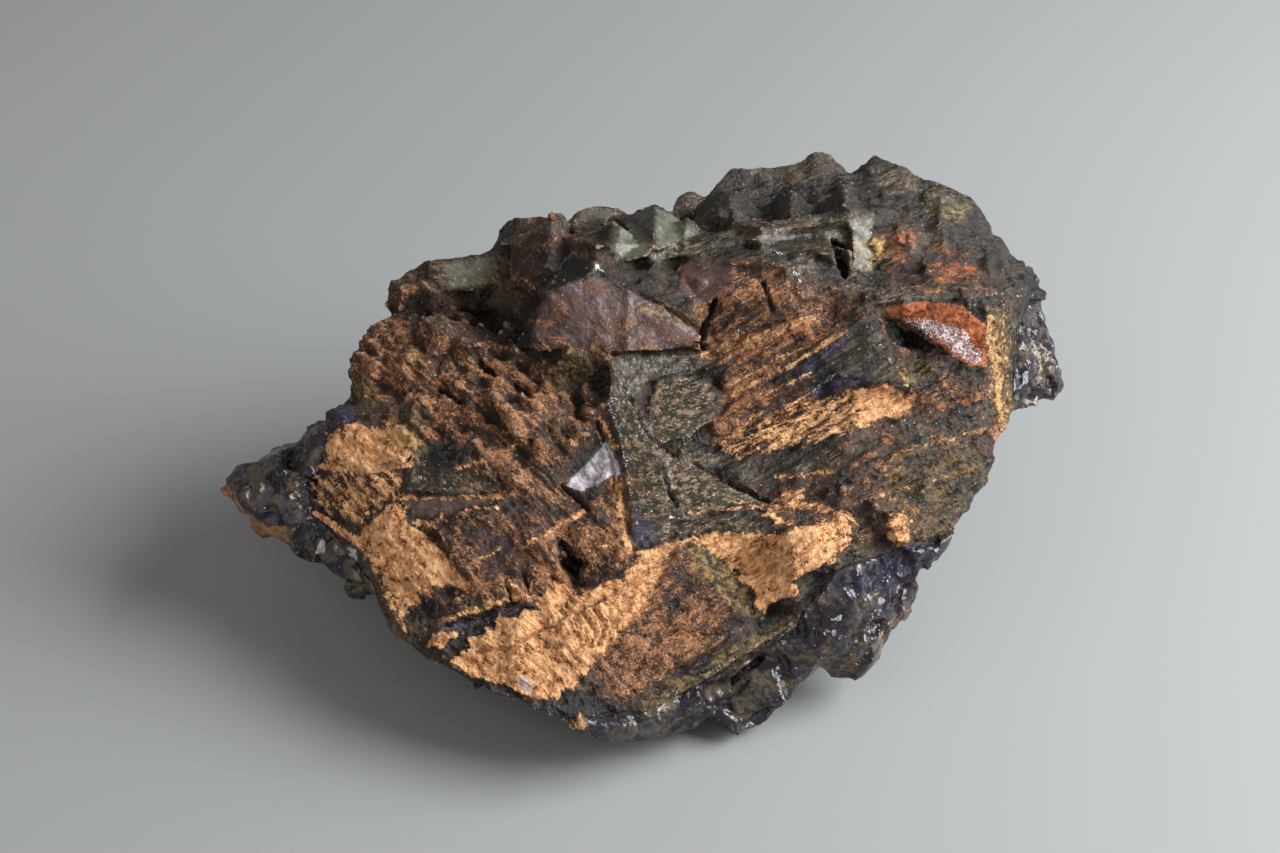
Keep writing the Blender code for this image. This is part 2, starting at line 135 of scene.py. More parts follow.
def stroke(x, y, line, width, feather):
    """1 on a line of pixels as wide as width, falling to 0 over the feather."""
    return 1.0 - smooth(width / 2, width / 2 + feather, line_distance(x, y, line))


def painted(x, y, areas):
    """The most that any of the areas gives at each pixel."""
    total = np.zeros(x.shape)
    for corners, feather, amount in areas:
        total = np.maximum(total, patch(x, y, corners, feather) * amount)
    return total


def drawn(x, y, lines, feather):
    """The most that any of the lines gives at each pixel."""
    total = np.zeros(x.shape)
    for line, width, amount in lines:
        total = np.maximum(total, stroke(x, y, line, width, feather) * amount)
    return total


# ---------------------------------------------------------------- crystal faces, steps and cubes

# Flat crystal faces of the crust: the pixels of their corners, each with how far it stands out of the
# plane through the corners on the CAD block.
PLATES = {
    "central block, left of its face": [
        (523, 345, 0.6), (531, 319, 0.6), (548, 293, 0.6), (598, 272, 0.2), (630, 288, 0.6),
        (626, 350, 1.0), (606, 366, 1.0), (567, 345, 1.0), (545, 353, 0.8),
    ],
    "central block, right of its face": [
        (629, 287, 0.8), (702, 327, -0.6), (702, 341, -0.6), (696, 349, 0.0), (624, 352, 1.2),
    ],
    "central block, black facet": [
        (549, 291, 0.4), (556, 267, 0), (573, 255, 0), (590, 260, 0.2), (596, 268, 0.8), (586, 277, 1),
    ],
    "central block, top edge": [
        (577, 251, 0.4), (640, 272, 0.4), (690, 300, 0.4), (700, 324, 0.2), (650, 293, 0.6),
        (600, 270, 0.6),
    ],
    "lilac lump": [
        (680, 276, 0.6), (689, 262, 0.4), (729, 261, 0.4), (736, 274, 0.8), (728, 291, 1.2),
        (713, 303, 1.2), (700, 303, 1.0),
    ],
    "brown blade": [
        (688, 258, 1.0), (729, 242, 1.0), (772, 255, 1.0), (768, 263, 1.6), (734, 266, 1.6),
        (700, 263, 1.4),
    ],
    "right block": [
        (739, 264, 0.4), (780, 257, 0.4), (790, 270, 0.6), (783, 286, 0.8), (757, 314, 1.0),
        (722, 352, 1.0), (708, 350, 0.6), (705, 326, 0.4), (716, 306, 0.2),
    ],
    "striated corner": [
        (793, 253, 0.8), (808, 256, 0.8), (824, 276, 1.0), (820, 300, 1.2), (800, 299, 1.0),
        (790, 280, 0.8),
    ],
    "olive shelf": [
        (610, 357, 0.6), (700, 354, 0.6), (714, 366, 1.0), (690, 372, 1.2), (655, 377, 1.2),
        (630, 394, 1.4), (609, 398, 1.2),
    ],
    "rounded facet": [
        (650, 398, 1.2), (658, 382, 1.2), (682, 375, 1.2), (711, 383, 1.2), (723, 399, 1.2),
        (712, 420, 1.2), (690, 437, 1.2), (664, 443, 1.2), (651, 428, 1.2),
    ],
    "slab": [
        (607, 403, 1.6), (630, 398, 1.2), (646, 432, 1.0), (660, 447, 0.8), (667, 485, 0.8),
        (677, 508, 0.6), (660, 534, 0.6), (633, 540, 1.0), (628, 500, 1.4), (621, 450, 1.6),
    ],
    "olive facet under the crack": [(665, 450, 0.2), (768, 503, 0.2), (738, 511, 0.6), (680, 509, 0.6)],
    "little block": [(549, 374, 0.8), (567, 350, 1.2), (603, 367, 1.2), (596, 373, 1.6), (562, 377, 1.4)],
    "dark wedge": [
        (408, 469, 0.8), (423, 441, 0.4), (456, 470, 1.0), (512, 493, 1.6), (470, 494, 1.8),
        (407, 491, 1.6),
    ],
    "tan wedge": [
        (404, 503, -0.6), (418, 497, -0.6), (512, 497, 0.2), (494, 508, 0.2), (441, 522, -0.2),
        (410, 530, -0.4),
    ],
    "pyramid, front": [
        (682, 541, 0.8), (692, 565, 0.8), (716, 590, 0.6), (745, 618, 0.4), (736, 648, 0.6),
        (700, 680, 0.8), (645, 712, 0.8), (602, 710, 0.8), (594, 690, 0.8), (612, 655, 0.8),
        (650, 606, 0.8), (672, 566, 0.8),
    ],
    "pyramid, right": [
        (684, 541, 0.6), (736, 573, -0.8), (747, 612, -0.8), (716, 588, 0.4), (693, 562, 0.6),
    ],
    "green corner, left": [(864, 315, 1.2), (820, 360, 0.6), (840, 376, 1.0), (868, 352, 1.4)],
    "green corner, right": [
        (865, 315, 1.2), (919, 393, 0.2), (884, 384, 0.8), (841, 377, 1.2), (868, 352, 1.6),
    ],
    "pyramid of the crest, dark face": [(654, 205, 2.6), (655, 240, 3.6), (645, 232, 3.2), (628, 219, 1.6)],
    "pyramid of the crest, right face": [
        (656, 205, 2.6), (702, 233, -0.4), (679, 242, 0.8), (656, 252, 3.4),
    ],
    "pyramid of the crest, front face": [
        (626, 220, 2.2), (645, 233, 3.2), (653, 242, 3.4), (650, 257, 2.4), (625, 263, 1.2),
        (614, 254, 1.0), (614, 236, 1.6),
    ],
    "wide crystal of the crest, top": [
        (569, 225, 1.0), (581, 212, 0.2), (600, 206, 0.0), (618, 211, 0.4), (612, 217, 1.2),
        (593, 224, 2.0),
    ],
    "wide crystal of the crest, front": [
        (566, 222, 1.0), (593, 225, 2.2), (611, 220, 1.4), (610, 246, 1.4), (598, 249, 1.4),
        (582, 241, 1.2),
    ],
    "left crystal of the crest": [
        (500, 246, 1.2), (513, 227, 0.8), (528, 220, 0.6), (542, 218, 0.6), (551, 221, 1.4),
        (545, 246, 2.8),
    ],
    "left crystal of the crest, right face": [
        (551, 217, 1.4), (560, 225, 0.2), (557, 240, 0.2), (546, 246, 2.6),
    ],
    "long grey shelf": [
        (640, 264, 1.0), (663, 256, 0.8), (707, 237, 0.2), (758, 231, 0.2), (758, 241, 1.0),
        (731, 240, 1.0), (680, 258, 1.4),
    ],
    "upper left block": [
        (436, 260, 0.6), (498, 253, 0.6), (506, 264, 0.8), (494, 284, 1.0), (470, 292, 1.0),
        (444, 288, 1.0), (432, 275, 0.8),
    ],
    "west pillar": [
        (327, 420, 0.6), (354, 414, 0.6), (414, 421, 0.6), (418, 446, 0.8), (404, 460, 1.0),
        (365, 465, 1.0), (326, 458, 0.8),
    ],
    "west ledge": [
        (342, 408, 1.4), (372, 402, 1.4), (410, 407, 1.4), (412, 415, 1.8), (370, 417, 1.8),
        (334, 413, 1.6),
    ],
    "speckled front": [
        (438, 531, 0.6), (490, 508, 0.4), (575, 510, 0.6), (555, 536, 0.8), (560, 568, 1.2),
        (530, 590, 1.2), (480, 592, 1.2), (456, 560, 0.8),
    ],
    "under the slab": [
        (588, 506, 0.4), (604, 470, 0.4), (619, 500, 0.4), (627, 538, 0.4), (592, 566, 0.8),
        (580, 545, 0.6),
    ],
    "grey wall of the top": [(849, 214, 0.8), (874, 216, 0.8), (872, 272, 1.2), (852, 272, 1.2)],
    "rust-red facet": [(884, 232, 0.6), (916, 222, 0.6), (921, 246, 0.8), (906, 266, 0.8), (886, 262, 0.8)],
    "rust-red facet, right": [
        (922, 262, 1.0), (956, 258, 0.6), (990, 268, 0.4), (974, 287, 0.8), (930, 286, 1.2),
    ],
    "grey facet of the top": [
        (922, 192, 0.8), (943, 187, 0.6), (968, 204, 0.8), (958, 220, 1.0), (930, 214, 1.0),
    ],
    "orange pocket": [
        (884, 307, 0.0), (922, 301, 0.4), (962, 305, 0.4), (985, 326, 0.6), (988, 366, 0.6),
        (970, 366, 0.2), (938, 346, -0.6), (906, 326, -0.6),
    ],
}
PLATE_THICKNESS, LEDGE_THICKNESS = 9.0, 8.0
# Long steps of the crust: the line they run along, width and how far they stand out.
LEDGES = [
    ([(731, 398), (848, 330)], 4.0, 0.8),
    ([(722, 384), (812, 334)], 3.5, 1.2),
    ([(716, 372), (808, 322)], 3.5, 0.9),
    ([(745, 412), (860, 352)], 3.0, 0.7),
    ([(716, 430), (812, 388)], 3.0, 0.5),
    ([(730, 330), (792, 296)], 3.5, 1.2),
    ([(862, 298), (960, 292)], 2.5, 1.2),
    ([(958, 293), (1044, 297)], 2.5, 1.2),
    ([(640, 520), (742, 530)], 2.5, 0.4),
    ([(690, 505), (800, 512)], 2.0, 0.4),
    ([(780, 490), (905, 470)], 2.5, 0.5),
    ([(800, 452), (905, 428)], 3.0, 0.6),
    ([(860, 480), (965, 440)], 3.0, 0.5),
    ([(835, 505), (960, 500)], 3.0, 0.6),
    ([(470, 612), (540, 590)], 2.5, 0.7),
    ([(560, 632), (640, 590)], 2.5, 0.4),
    ([(430, 600), (470, 640)], 2.5, 0.6),
    ([(395, 560), (440, 604)], 2.5, 0.5),
    ([(880, 262), (968, 262)], 4.0, 1.0),
    ([(930, 372), (990, 372)], 3.0, 0.8),
    ([(988, 306), (998, 420)], 3.0, 1.0),
    ([(1004, 306), (1010, 410)], 3.0, 0.8),
    ([(640, 262), (716, 240)], 3.0, 0.8),
    ([(716, 240), (846, 216)], 3.0, 1.0),
    ([(437, 372), (524, 428)], 2.0, 1.0),
    ([(452, 358), (540, 412)], 2.0, 1.1),
    ([(472, 350), (560, 402)], 2.0, 1.1),
    ([(418, 386), (504, 442)], 2.0, 0.9),
    ([(404, 400), (486, 456)], 2.0, 0.8),
    ([(384, 372), (420, 396)], 2.0, 0.8),
]
# Where cubes stand out of the crust: polygon, how many, their sides, how far their middles are sunk as
# a share of the side, how many degrees above the camera their corners point, and how far the cubes are
# rolled about that line. Unrolled, an edge runs straight down from the corner.
GROWTHS = {
    "crest": (
        [(495, 250), (505, 222), (560, 214), (620, 210), (700, 196), (716, 236), (640, 258), (580, 248)],
        7, (4, 8), (0.5, 0.66), 4, 176,
    ),
    "upper left": (
        [(372, 335), (384, 290), (430, 262), (430, 300), (520, 300), (520, 345), (440, 330)],
        18, (4, 9), (0.5, 0.66), 12, -8,
    ),
    "top": (
        [(706, 212), (760, 190), (860, 184), (950, 210), (1010, 285), (930, 262), (860, 250), (740, 236)],
        24, (6, 11), (0.62, 0.74), 10, 174,
    ),
    "grainy ridge": (
        [(356, 392), (392, 320), (450, 332), (548, 352), (600, 405), (585, 455), (520, 485), (470, 466),
         (424, 436)],
        230, (2.5, 7), (0.44, 0.66), 14, -10,
    ),
    "front left": (
        [(330, 470), (400, 470), (404, 530), (470, 600), (440, 640), (400, 620)],
        40, (2.5, 6), (0.6, 0.8), 10, -8,
    ),
    "speckled front": (
        [(440, 530), (576, 512), (560, 590), (470, 600)],
        34, (2.5, 5), (0.62, 0.8), 8, -8,
    ),
    "under the slab": (
        [(560, 500), (604, 440), (626, 540), (590, 570)],
        20, (2.5, 5), (0.62, 0.8), 8, -8,
    ),
    "right slope": (
        [(760, 470), (980, 410), (990, 500), (930, 560), (860, 560), (800, 520)],
        80, (2.5, 6), (0.62, 0.82), 10, -20,
    ),
    "between the blocks": (
        [(700, 340), (800, 300), (860, 300), (820, 345), (720, 395)],
        40, (2, 5), (0.6, 0.8), 12, -30,
    ),
    "east": (
        [(985, 300), (1050, 310), (1052, 395), (1010, 412), (985, 400)],
        14, (3, 6), (0.6, 0.78), 14, 0,
    ),
    "right ridge": (
        [(860, 290), (1040, 290), (1040, 306), (970, 306), (880, 300)],
        22, (2.5, 5), (0.6, 0.75), 16, 0,
    ),
}
GROWTH_SPREAD = 3.5  # degrees
GROWTH_STEP = 1.3  # the cubes' middles lie on a lattice of this pitch, so that many faces are level
SMALL_SHARE = 1.8  # the power that makes small cubes commoner than large ones
SIDE_RATIOS = (0.8, 1.25)  # of the other two sides of a cube to its first


def faces_by_area(mesh):
    """Middle, normal and share of the area of each face, in millimetres."""
    count = len(mesh.polygons)
    middles, normals, areas = np.empty(count * 3), np.empty(count * 3), np.empty(count)
    mesh.polygons.foreach_get("center", middles)
    mesh.polygons.foreach_get("normal", normals)
    mesh.polygons.foreach_get("area", areas)
    return middles.reshape(-1, 3) / MM, normals.reshape(-1, 3), areas / areas.sum()


def crystal_axes(lean=0.0, roll=-6.0):
    """The turn of a cube whose corner points this far above the camera, rolled about that line."""
    axes = []
    for angle in (90.0, 210.0, 330.0):
        turn = math.radians(angle + roll)
        sideways = Vector((1.0, 0.0, 0.0)) * math.cos(turn) + Vector(FRAME_UP) * math.sin(turn)
        axes.append(sideways * math.sqrt(2 / 3) + TO_EYE * math.sqrt(1 / 3))
    return Matrix.Rotation(-math.radians(lean), 3, "X") @ Matrix(axes).transposed()


def grown_boxes(bm, middles, normals, areas):
    """Cubes in one shared lattice, grown out of the crust."""
    x, y, _depth = seen(middles)
    facing = normals @ np.array(TO_EYE)
    for corners, count, sides, sunk, lean, roll in GROWTHS.values():
        axes = crystal_axes(lean, roll)
        chance = areas * (patch(x, y, corners, 1.0) > 0.5) * (facing > 0.1)
        for pick in rng.choice(len(areas), count, p=chance / chance.sum()):
            side = sides[0] + (sides[1] - sides[0]) * rng.uniform() ** SMALL_SHARE
            place = Vector(middles[pick]) - Vector(normals[pick]) * side * rng.uniform(*sunk)
            level = Vector([round(reach / GROWTH_STEP) * GROWTH_STEP for reach in axes.transposed() @ place])
            own_turn = [math.radians(rng.normal(0.0, GROWTH_SPREAD)) for _axis in range(3)]
            turned = (Euler(own_turn).to_matrix() @ axes).to_4x4()
            wide, deep = (side * rng.uniform(*SIDE_RATIOS) for _side in range(2))
            size = Matrix.Diagonal((side, wide, deep, 1.0))
            bmesh.ops.create_cube(bm, size=MM, matrix=Matrix.Translation(axes @ level * MM) @ turned @ size)


def plate(bm, surface, corners):
    """A thick plate let into the stone, whose front is the plane that fits its corners best."""
    landings = [landed(surface, corner[:2])[0] + TO_EYE * corner[2] for corner in corners]
    middle = sum(landings, Vector()) / len(landings)
    offsets = np.array([landing - middle for landing in landings])
    normal = Vector(np.linalg.svd(offsets)[2][2])
    front = [place - TO_EYE * ((place - middle).dot(normal) / TO_EYE.dot(normal)) for place in landings]
    near = [bm.verts.new(place * MM) for place in front]
    far = [bm.verts.new((place - TO_EYE * PLATE_THICKNESS) * MM) for place in front]
    bm.faces.new(near)
    bm.faces.new(far[::-1])
    for i in range(len(near)):
        j = (i + 1) % len(near)
        bm.faces.new((near[j], near[i], far[i], far[j]))


def ledges(bm, surface):
    """Long boxes lying in the crust, whose edges show as steps."""
    for (start, end), width, rise in LEDGES:
        (a, normal_a), (b, normal_b) = landed(surface, start), landed(surface, end)
        run = (b - a).normalized()
        out = (normal_a + normal_b + TO_EYE).normalized()
        out = (out - run * out.dot(run)).normalized()
        turned = Matrix((run, out.cross(run), out)).transposed().to_4x4()
        middle = (a + b) / 2 - out * (LEDGE_THICKNESS / 2 - rise)
        size = Matrix.Diagonal(((b - a).length, width, LEDGE_THICKNESS, 1.0))
        bmesh.ops.create_cube(bm, size=MM, matrix=Matrix.Translation(middle * MM) @ turned @ size)


def rough_block():
    """The CAD block with its crystal faces, steps and cubes, fused and finely meshed."""
    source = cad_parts[NODE].data
    bm = bmesh.new()
    bm.from_mesh(source)
    surface = BVHTree.FromBMesh(bm)
    for corners in PLATES.values():
        plate(bm, surface, corners)
    ledges(bm, surface)
    grown_boxes(bm, *faces_by_area(source))
    mesh = bpy.data.meshes.new("blue_john_stone")
    bm.to_mesh(mesh)
    bm.free()
    stone = bpy.data.objects.new("blue_john_stone", mesh)
    bpy.context.scene.collection.objects.link(stone)
    return fused(stone)


def fused(stone):
    """The stone meshed anew in even small quads, with everything that overlaps made one."""
    modifier = stone.modifiers.new("fuse", "REMESH")
    modifier.mode = "VOXEL"
    modifier.voxel_size = VOXEL * MM * 1.0
    return applied(stone)


def applied(obj):
    """Makes the object's modifiers part of its mesh."""
    graph = bpy.context.evaluated_depsgraph_get()
    mesh = bpy.data.meshes.new_from_object(obj.evaluated_get(graph))
    obj.modifiers.clear()
    old, obj.data = obj.data, mesh
    bpy.data.meshes.remove(old)
    return obj


# ---------------------------------------------------------------- noise

LATTICE_PRIMES = np.array((374761393, 668265263, 2147483647))
NOISE_PRIME = 1274126177
SEED_SHIFT = 17.31  # of the lattice, for each seed
LAYER_SHARE = 0.55  # of each finer layer of noise, to the one before
FALLING, RISING = (0.71, -0.41, -0.58), (0.86, 0.29, 0.41)  # the crystals' two main directions
RIGHT_COLUMNS = (540, 700)  # pixels over which the first direction gives way to the second


def lattice_noise(places, size, seed):
    """Smooth noise from 0 to 1 that changes over the size in millimetres."""
    lattice = places / size + seed * SEED_SHIFT
    corner = np.floor(lattice).astype(np.int64)
    within = lattice - corner
    ease = within * within * (3.0 - 2.0 * within)
    total = np.zeros(len(places))
    for side in product((0, 1), repeat=3):
        key = (corner + side) @ LATTICE_PRIMES
        key = (key ^ (key >> 13)) * NOISE_PRIME
        share = np.abs((key ^ (key >> 16)) & 0xFFFF) / 65535.0
        near = np.where(side, ease, 1.0 - ease)
        total += share * near[:, 0] * near[:, 1] * near[:, 2]
    return total


def layered_noise(places, size, seed, layers=3):
    """Lattice noise with finer layers added, still from 0 to 1."""
    total, weight, share = np.zeros(len(places)), 0.0, 1.0
    for layer in range(layers):
        total += share * lattice_noise(places, size / 2**layer, seed + layer)
        weight += share
        share *= LAYER_SHARE
    return total / weight


def drawn_out(places, direction, stretch):
    """The places squeezed along a direction, so that noise read there is drawn out along it."""
    direction = np.array(Vector(direction).normalized())
    return places - np.outer(places @ direction, direction) * (1.0 - 1.0 / stretch)


def on_right(x):
    """1 on the right of the stone, 0 on its left."""
    return smooth(*RIGHT_COLUMNS, x)


def streaky(places, x, size, stretch, seed, layers=3):
    """Noise about 0, drawn out along the crystals' main direction on either side of the stone."""
    left, right = (
        layered_noise(drawn_out(places, direction, stretch), size, seed, layers) - 0.5
        for direction in (FALLING, RISING)
    )
    return left * (1.0 - on_right(x)) + right * on_right(x)


# ---------------------------------------------------------------- what lies where on the crust

# Each area is its outline in pixels, the feather of its edge and its amount. Each line is its points,
# its width and its amount.
# Clay.
CLAY = [
    ([(324, 432), (345, 422), (395, 424), (418, 444), (405, 464), (365, 468), (326, 462)], 7, 1.1),
    ([(345, 424), (395, 418), (400, 440), (350, 446)], 8, 0.75),
    ([(316, 468), (404, 466), (404, 500), (369, 512), (361, 527), (314, 510)], 8, 0.80),
    ([(369, 511), (404, 500), (408, 530), (440, 545), (470, 584), (466, 592), (436, 588), (418, 606),
      (398, 600), (378, 566), (352, 540)], 9, 1.2),
    ([(330, 515), (372, 548), (420, 600), (404, 640), (386, 606), (365, 560)], 6, 0.85),
    ([(404, 524), (441, 515), (514, 499), (494, 510), (441, 524), (410, 534)], 4, 0.95),
    ([(462, 654), (472, 639), (486, 625), (502, 617), (535, 609), (533, 592), (564, 578), (576, 592),
      (594, 586), (625, 576), (633, 560), (645, 548), (682, 537), (668, 558), (664, 584), (651, 609),
      (625, 625), (604, 650), (596, 672), (575, 690), (552, 698), (513, 690), (472, 682),
      (441, 662)], 6, 1.15),
    ([(427, 650), (425, 643), (439, 631), (460, 627), (461, 635), (451, 648), (432, 652)], 4, 1.1),
    ([(714, 440), (728, 424), (763, 408), (800, 396), (845, 392), (880, 383), (920, 400), (915, 416),
      (880, 424), (830, 440), (779, 454), (735, 460), (716, 450)], 7, 0.80),
    ([(846, 390), (884, 384), (920, 398), (912, 418), (850, 424)], 6, 1.05),
    ([(633, 552), (684, 538), (748, 533), (784, 534), (800, 528), (826, 520), (852, 536), (846, 548),
      (838, 566), (810, 572), (797, 580), (796, 599), (768, 604), (760, 618), (752, 604), (744, 582),
      (722, 566), (686, 545), (660, 560)], 5, 1.15),
    ([(760, 511), (776, 514), (800, 524), (790, 530), (766, 520)], 3, 1.1),
    ([(780, 493), (800, 488), (806, 498), (784, 502)], 3, 0.95),
    ([(827, 517), (840, 514), (858, 522), (854, 536), (838, 530)], 3, 1.1),
    ([(885, 512), (899, 510), (909, 524), (908, 542), (894, 544), (884, 530)], 4, 1.1),
    ([(867, 238), (884, 240), (882, 263), (868, 263)], 4, 0.95),
    ([(400, 345), (413, 345), (413, 357), (400, 357)], 3, 0.95),
    ([(984, 316), (1000, 314), (1010, 400), (1004, 436), (992, 436)], 6, 0.72),
    ([(563, 716), (583, 714), (586, 732), (566, 734)], 4, 0.95),
    ([(600, 650), (640, 620), (700, 620), (690, 650), (640, 690), (600, 690)], 14, 0.4),
    ([(760, 470), (880, 440), (985, 440), (980, 520), (900, 552), (780, 512)], 18, 0.22),
    ([(440, 590), (540, 570), (590, 590), (470, 625)], 10, 0.62),
    ([(520, 540), (628, 520), (632, 560), (580, 580)], 10, 0.55),
    ([(740, 350), (860, 318), (820, 345), (730, 400)], 10, 0.45),
    ([(604, 410), (640, 404), (664, 500), (640, 520), (616, 480)], 8, 0.5),
]
# Narrow streaks of clay.
CLAY_LINES = [
    ([(314, 511), (369, 553), (404, 582)], 4, 1.0),
    ([(415, 533), (468, 588)], 6, 1.0),
    ([(402, 540), (450, 587)], 4, 0.9),
    ([(445, 621), (487, 606), (529, 594)], 3, 1.0),
    ([(523, 547), (584, 511)], 2, 1.0),
    ([(500, 548), (470, 566)], 2, 0.8),
    ([(601, 421), (615, 448)], 4, 0.9),
    ([(613, 476), (623, 523), (630, 552)], 4, 1.0),
    ([(320, 466), (366, 470), (412, 464)], 4, 1.0),
    ([(406, 497), (440, 499), (513, 496)], 3, 1.0),
    ([(455, 470), (516, 446)], 3, 0.8),
    ([(440, 476), (516, 495)], 2, 0.8),
    ([(690, 513), (745, 508), (800, 508)], 2, 0.9),
    ([(784, 500), (850, 515)], 4, 0.9),
    ([(700, 502), (768, 502)], 2, 0.8),
    ([(731, 430), (745, 456)], 3, 0.8),
    ([(722, 437), (738, 458)], 3, 0.8),
    ([(776, 478), (830, 472)], 3, 0.8),
    ([(884, 384), (912, 404)], 3, 0.9),
    ([(990, 318), (1002, 430)], 4, 0.9),
    ([(1001, 310), (1009, 402)], 3, 0.7),
    ([(860, 318), (884, 350), (914, 392)], 2, 0.8),
    ([(700, 357), (756, 338), (812, 318)], 6, 0.75),
    ([(726, 397), (790, 366), (846, 330)], 3, 0.85),
    ([(728, 386), (800, 348)], 3, 0.7),
    ([(739, 404), (812, 372)], 3, 0.7),
    ([(890, 455), (985, 430)], 3, 0.7),
    ([(860, 500), (975, 470)], 3, 0.7),
    ([(640, 530), (742, 534)], 2, 0.7),
    ([(646, 402), (660, 440)], 3, 0.7),
    ([(672, 560), (640, 602), (604, 652)], 5, 0.8),
]
# Rust stains.
RUST = [
    ([(345, 400), (350, 360), (385, 295), (440, 330), (545, 350), (610, 400), (600, 450), (520, 490),
      (440, 470), (410, 440)], 16, 0.95),
    ([(523, 346), (534, 312), (560, 300), (630, 318), (700, 338), (696, 350), (610, 362),
      (545, 356)], 8, 0.8),
    ([(690, 290), (740, 262), (785, 260), (850, 300), (846, 322), (740, 396), (700, 350)], 12, 0.9),
    ([(840, 318), (900, 300), (960, 300), (950, 372), (1000, 372), (1004, 440), (960, 480),
      (880, 390)], 14, 0.7),
    ([(880, 205), (980, 220), (1005, 290), (900, 300), (868, 262)], 12, 0.6),
    ([(600, 600), (680, 545), (735, 596), (722, 640), (680, 672), (620, 704), (596, 704)], 7, 0.9),
    ([(385, 262), (520, 240), (540, 300), (440, 330), (385, 330)], 16, 0.6),
    ([(500, 215), (560, 205), (640, 210), (600, 235), (520, 262)], 10, 0.55),
    ([(700, 200), (800, 175), (860, 200), (850, 236), (760, 240)], 16, 0.34),
    ([(430, 520), (570, 505), (632, 470), (640, 560), (560, 600), (440, 600)], 14, 0.85),
    ([(740, 470), (980, 400), (985, 500), (930, 560), (760, 540)], 18, 0.55),
    ([(500, 440), (600, 430), (570, 480), (575, 510), (520, 500)], 10, 0.9),
    ([(700, 400), (760, 380), (800, 392), (740, 420), (712, 450)], 10, 0.85),
]
# Yellow-green stains.
YELLOW = [
    ([(390, 416), (420, 414), (418, 446), (398, 452)], 8, 1.0),
    ([(684, 540), (738, 574), (750, 618), (716, 590), (690, 564)], 6, 1.0),
    ([(346, 384), (366, 372), (380, 398), (352, 402)], 8, 0.8),
    ([(549, 374), (567, 350), (604, 367), (596, 376), (560, 380)], 5, 0.9),
    ([(865, 236), (884, 240), (890, 268), (866, 268)], 6, 0.8),
    ([(988, 310), (1008, 306), (1012, 420), (994, 430)], 8, 0.7),
    ([(470, 276), (500, 262), (500, 284), (480, 292)], 8, 0.6),
    ([(900, 366), (946, 360), (930, 384), (905, 388)], 8, 0.7),
    ([(400, 345), (413, 345), (413, 357), (400, 357)], 4, 1.0),
    ([(930, 206), (968, 204), (960, 224), (935, 220)], 8, 0.7),
    ([(640, 300), (690, 318), (700, 332), (640, 312)], 5, 0.7),
    ([(640, 700), (700, 668), (740, 640), (840, 596), (830, 616), (750, 656), (690, 690),
      (640, 716)], 6, 0.8),
    ([(890, 440), (984, 424), (984, 500), (920, 548), (880, 500)], 14, 0.42),
]
# Smooth olive facets that little sticks to.
CALM = [
    ([(607, 403), (633, 398), (659, 441), (671, 506), (660, 534), (633, 540), (622, 460)], 4, 0.9),
    ([(650, 398), (658, 382), (682, 375), (711, 383), (723, 399), (712, 420), (690, 437), (664, 443),
      (651, 428)], 4, 1.0),
    ([(665, 450), (768, 503), (740, 512), (680, 510), (668, 480)], 4, 1.0),
    ([(640, 516), (760, 514), (770, 528), (690, 532), (636, 532)], 5, 0.8),
    ([(712, 455), (780, 462), (860, 446), (770, 490), (690, 455)], 8, 0.6),
    ([(864, 315), (919, 393), (884, 384), (841, 377), (820, 360)], 5, 0.8),
    ([(408, 469), (423, 441), (456, 470), (512, 493), (407, 492)], 4, 1.0),
    ([(548, 292), (557, 274), (575, 253), (600, 262), (598, 272)], 3, 1.0),
    ([(613, 247), (627, 218), (653, 204), (702, 230), (700, 250), (652, 262), (618, 262)], 6, 0.9),
    ([(563, 220), (598, 206), (631, 208), (610, 222), (570, 232)], 6, 0.8),
    ([(434, 288), (436, 258), (500, 252), (505, 262), (494, 284)], 6, 0.9),
    ([(640, 262), (716, 238), (846, 214), (850, 250), (780, 252), (730, 240), (690, 256)], 5, 0.8),
    ([(849, 211), (875, 215), (872, 273), (850, 273)], 4, 0.9),
    ([(610, 356), (702, 353), (716, 368), (655, 376), (640, 396), (608, 399)], 6, 0.75),
    ([(922, 190), (944, 182), (968, 204), (958, 220), (930, 214)], 5, 0.9),
    ([(793, 252), (808, 256), (824, 276), (820, 300), (800, 299)], 5, 0.6),
    ([(333, 403), (372, 399), (410, 406), (412, 416), (334, 414)], 5, 0.7),
    ([(700, 200), (850, 160), (1000, 215), (985, 260), (860, 250), (700, 262)], 20, 0.2),
    ([(404, 500), (418, 496), (500, 498), (440, 516), (408, 522)], 4, 0.8),
]
# Lilac faces.
MAUVE = [
    ([(540, 305), (560, 290), (598, 276), (700, 326), (702, 341), (640, 350), (540, 340)], 6, 0.8),
    ([(679, 266), (704, 258), (736, 270), (730, 300), (700, 305), (682, 292)], 4, 1.0),
    ([(404, 503), (418, 497), (500, 499), (470, 508), (420, 516)], 5, 0.9),
    ([(345, 420), (392, 422), (388, 440), (350, 440)], 6, 0.7),
    ([(470, 535), (570, 520), (560, 560), (480, 580)], 12, 0.35),
]
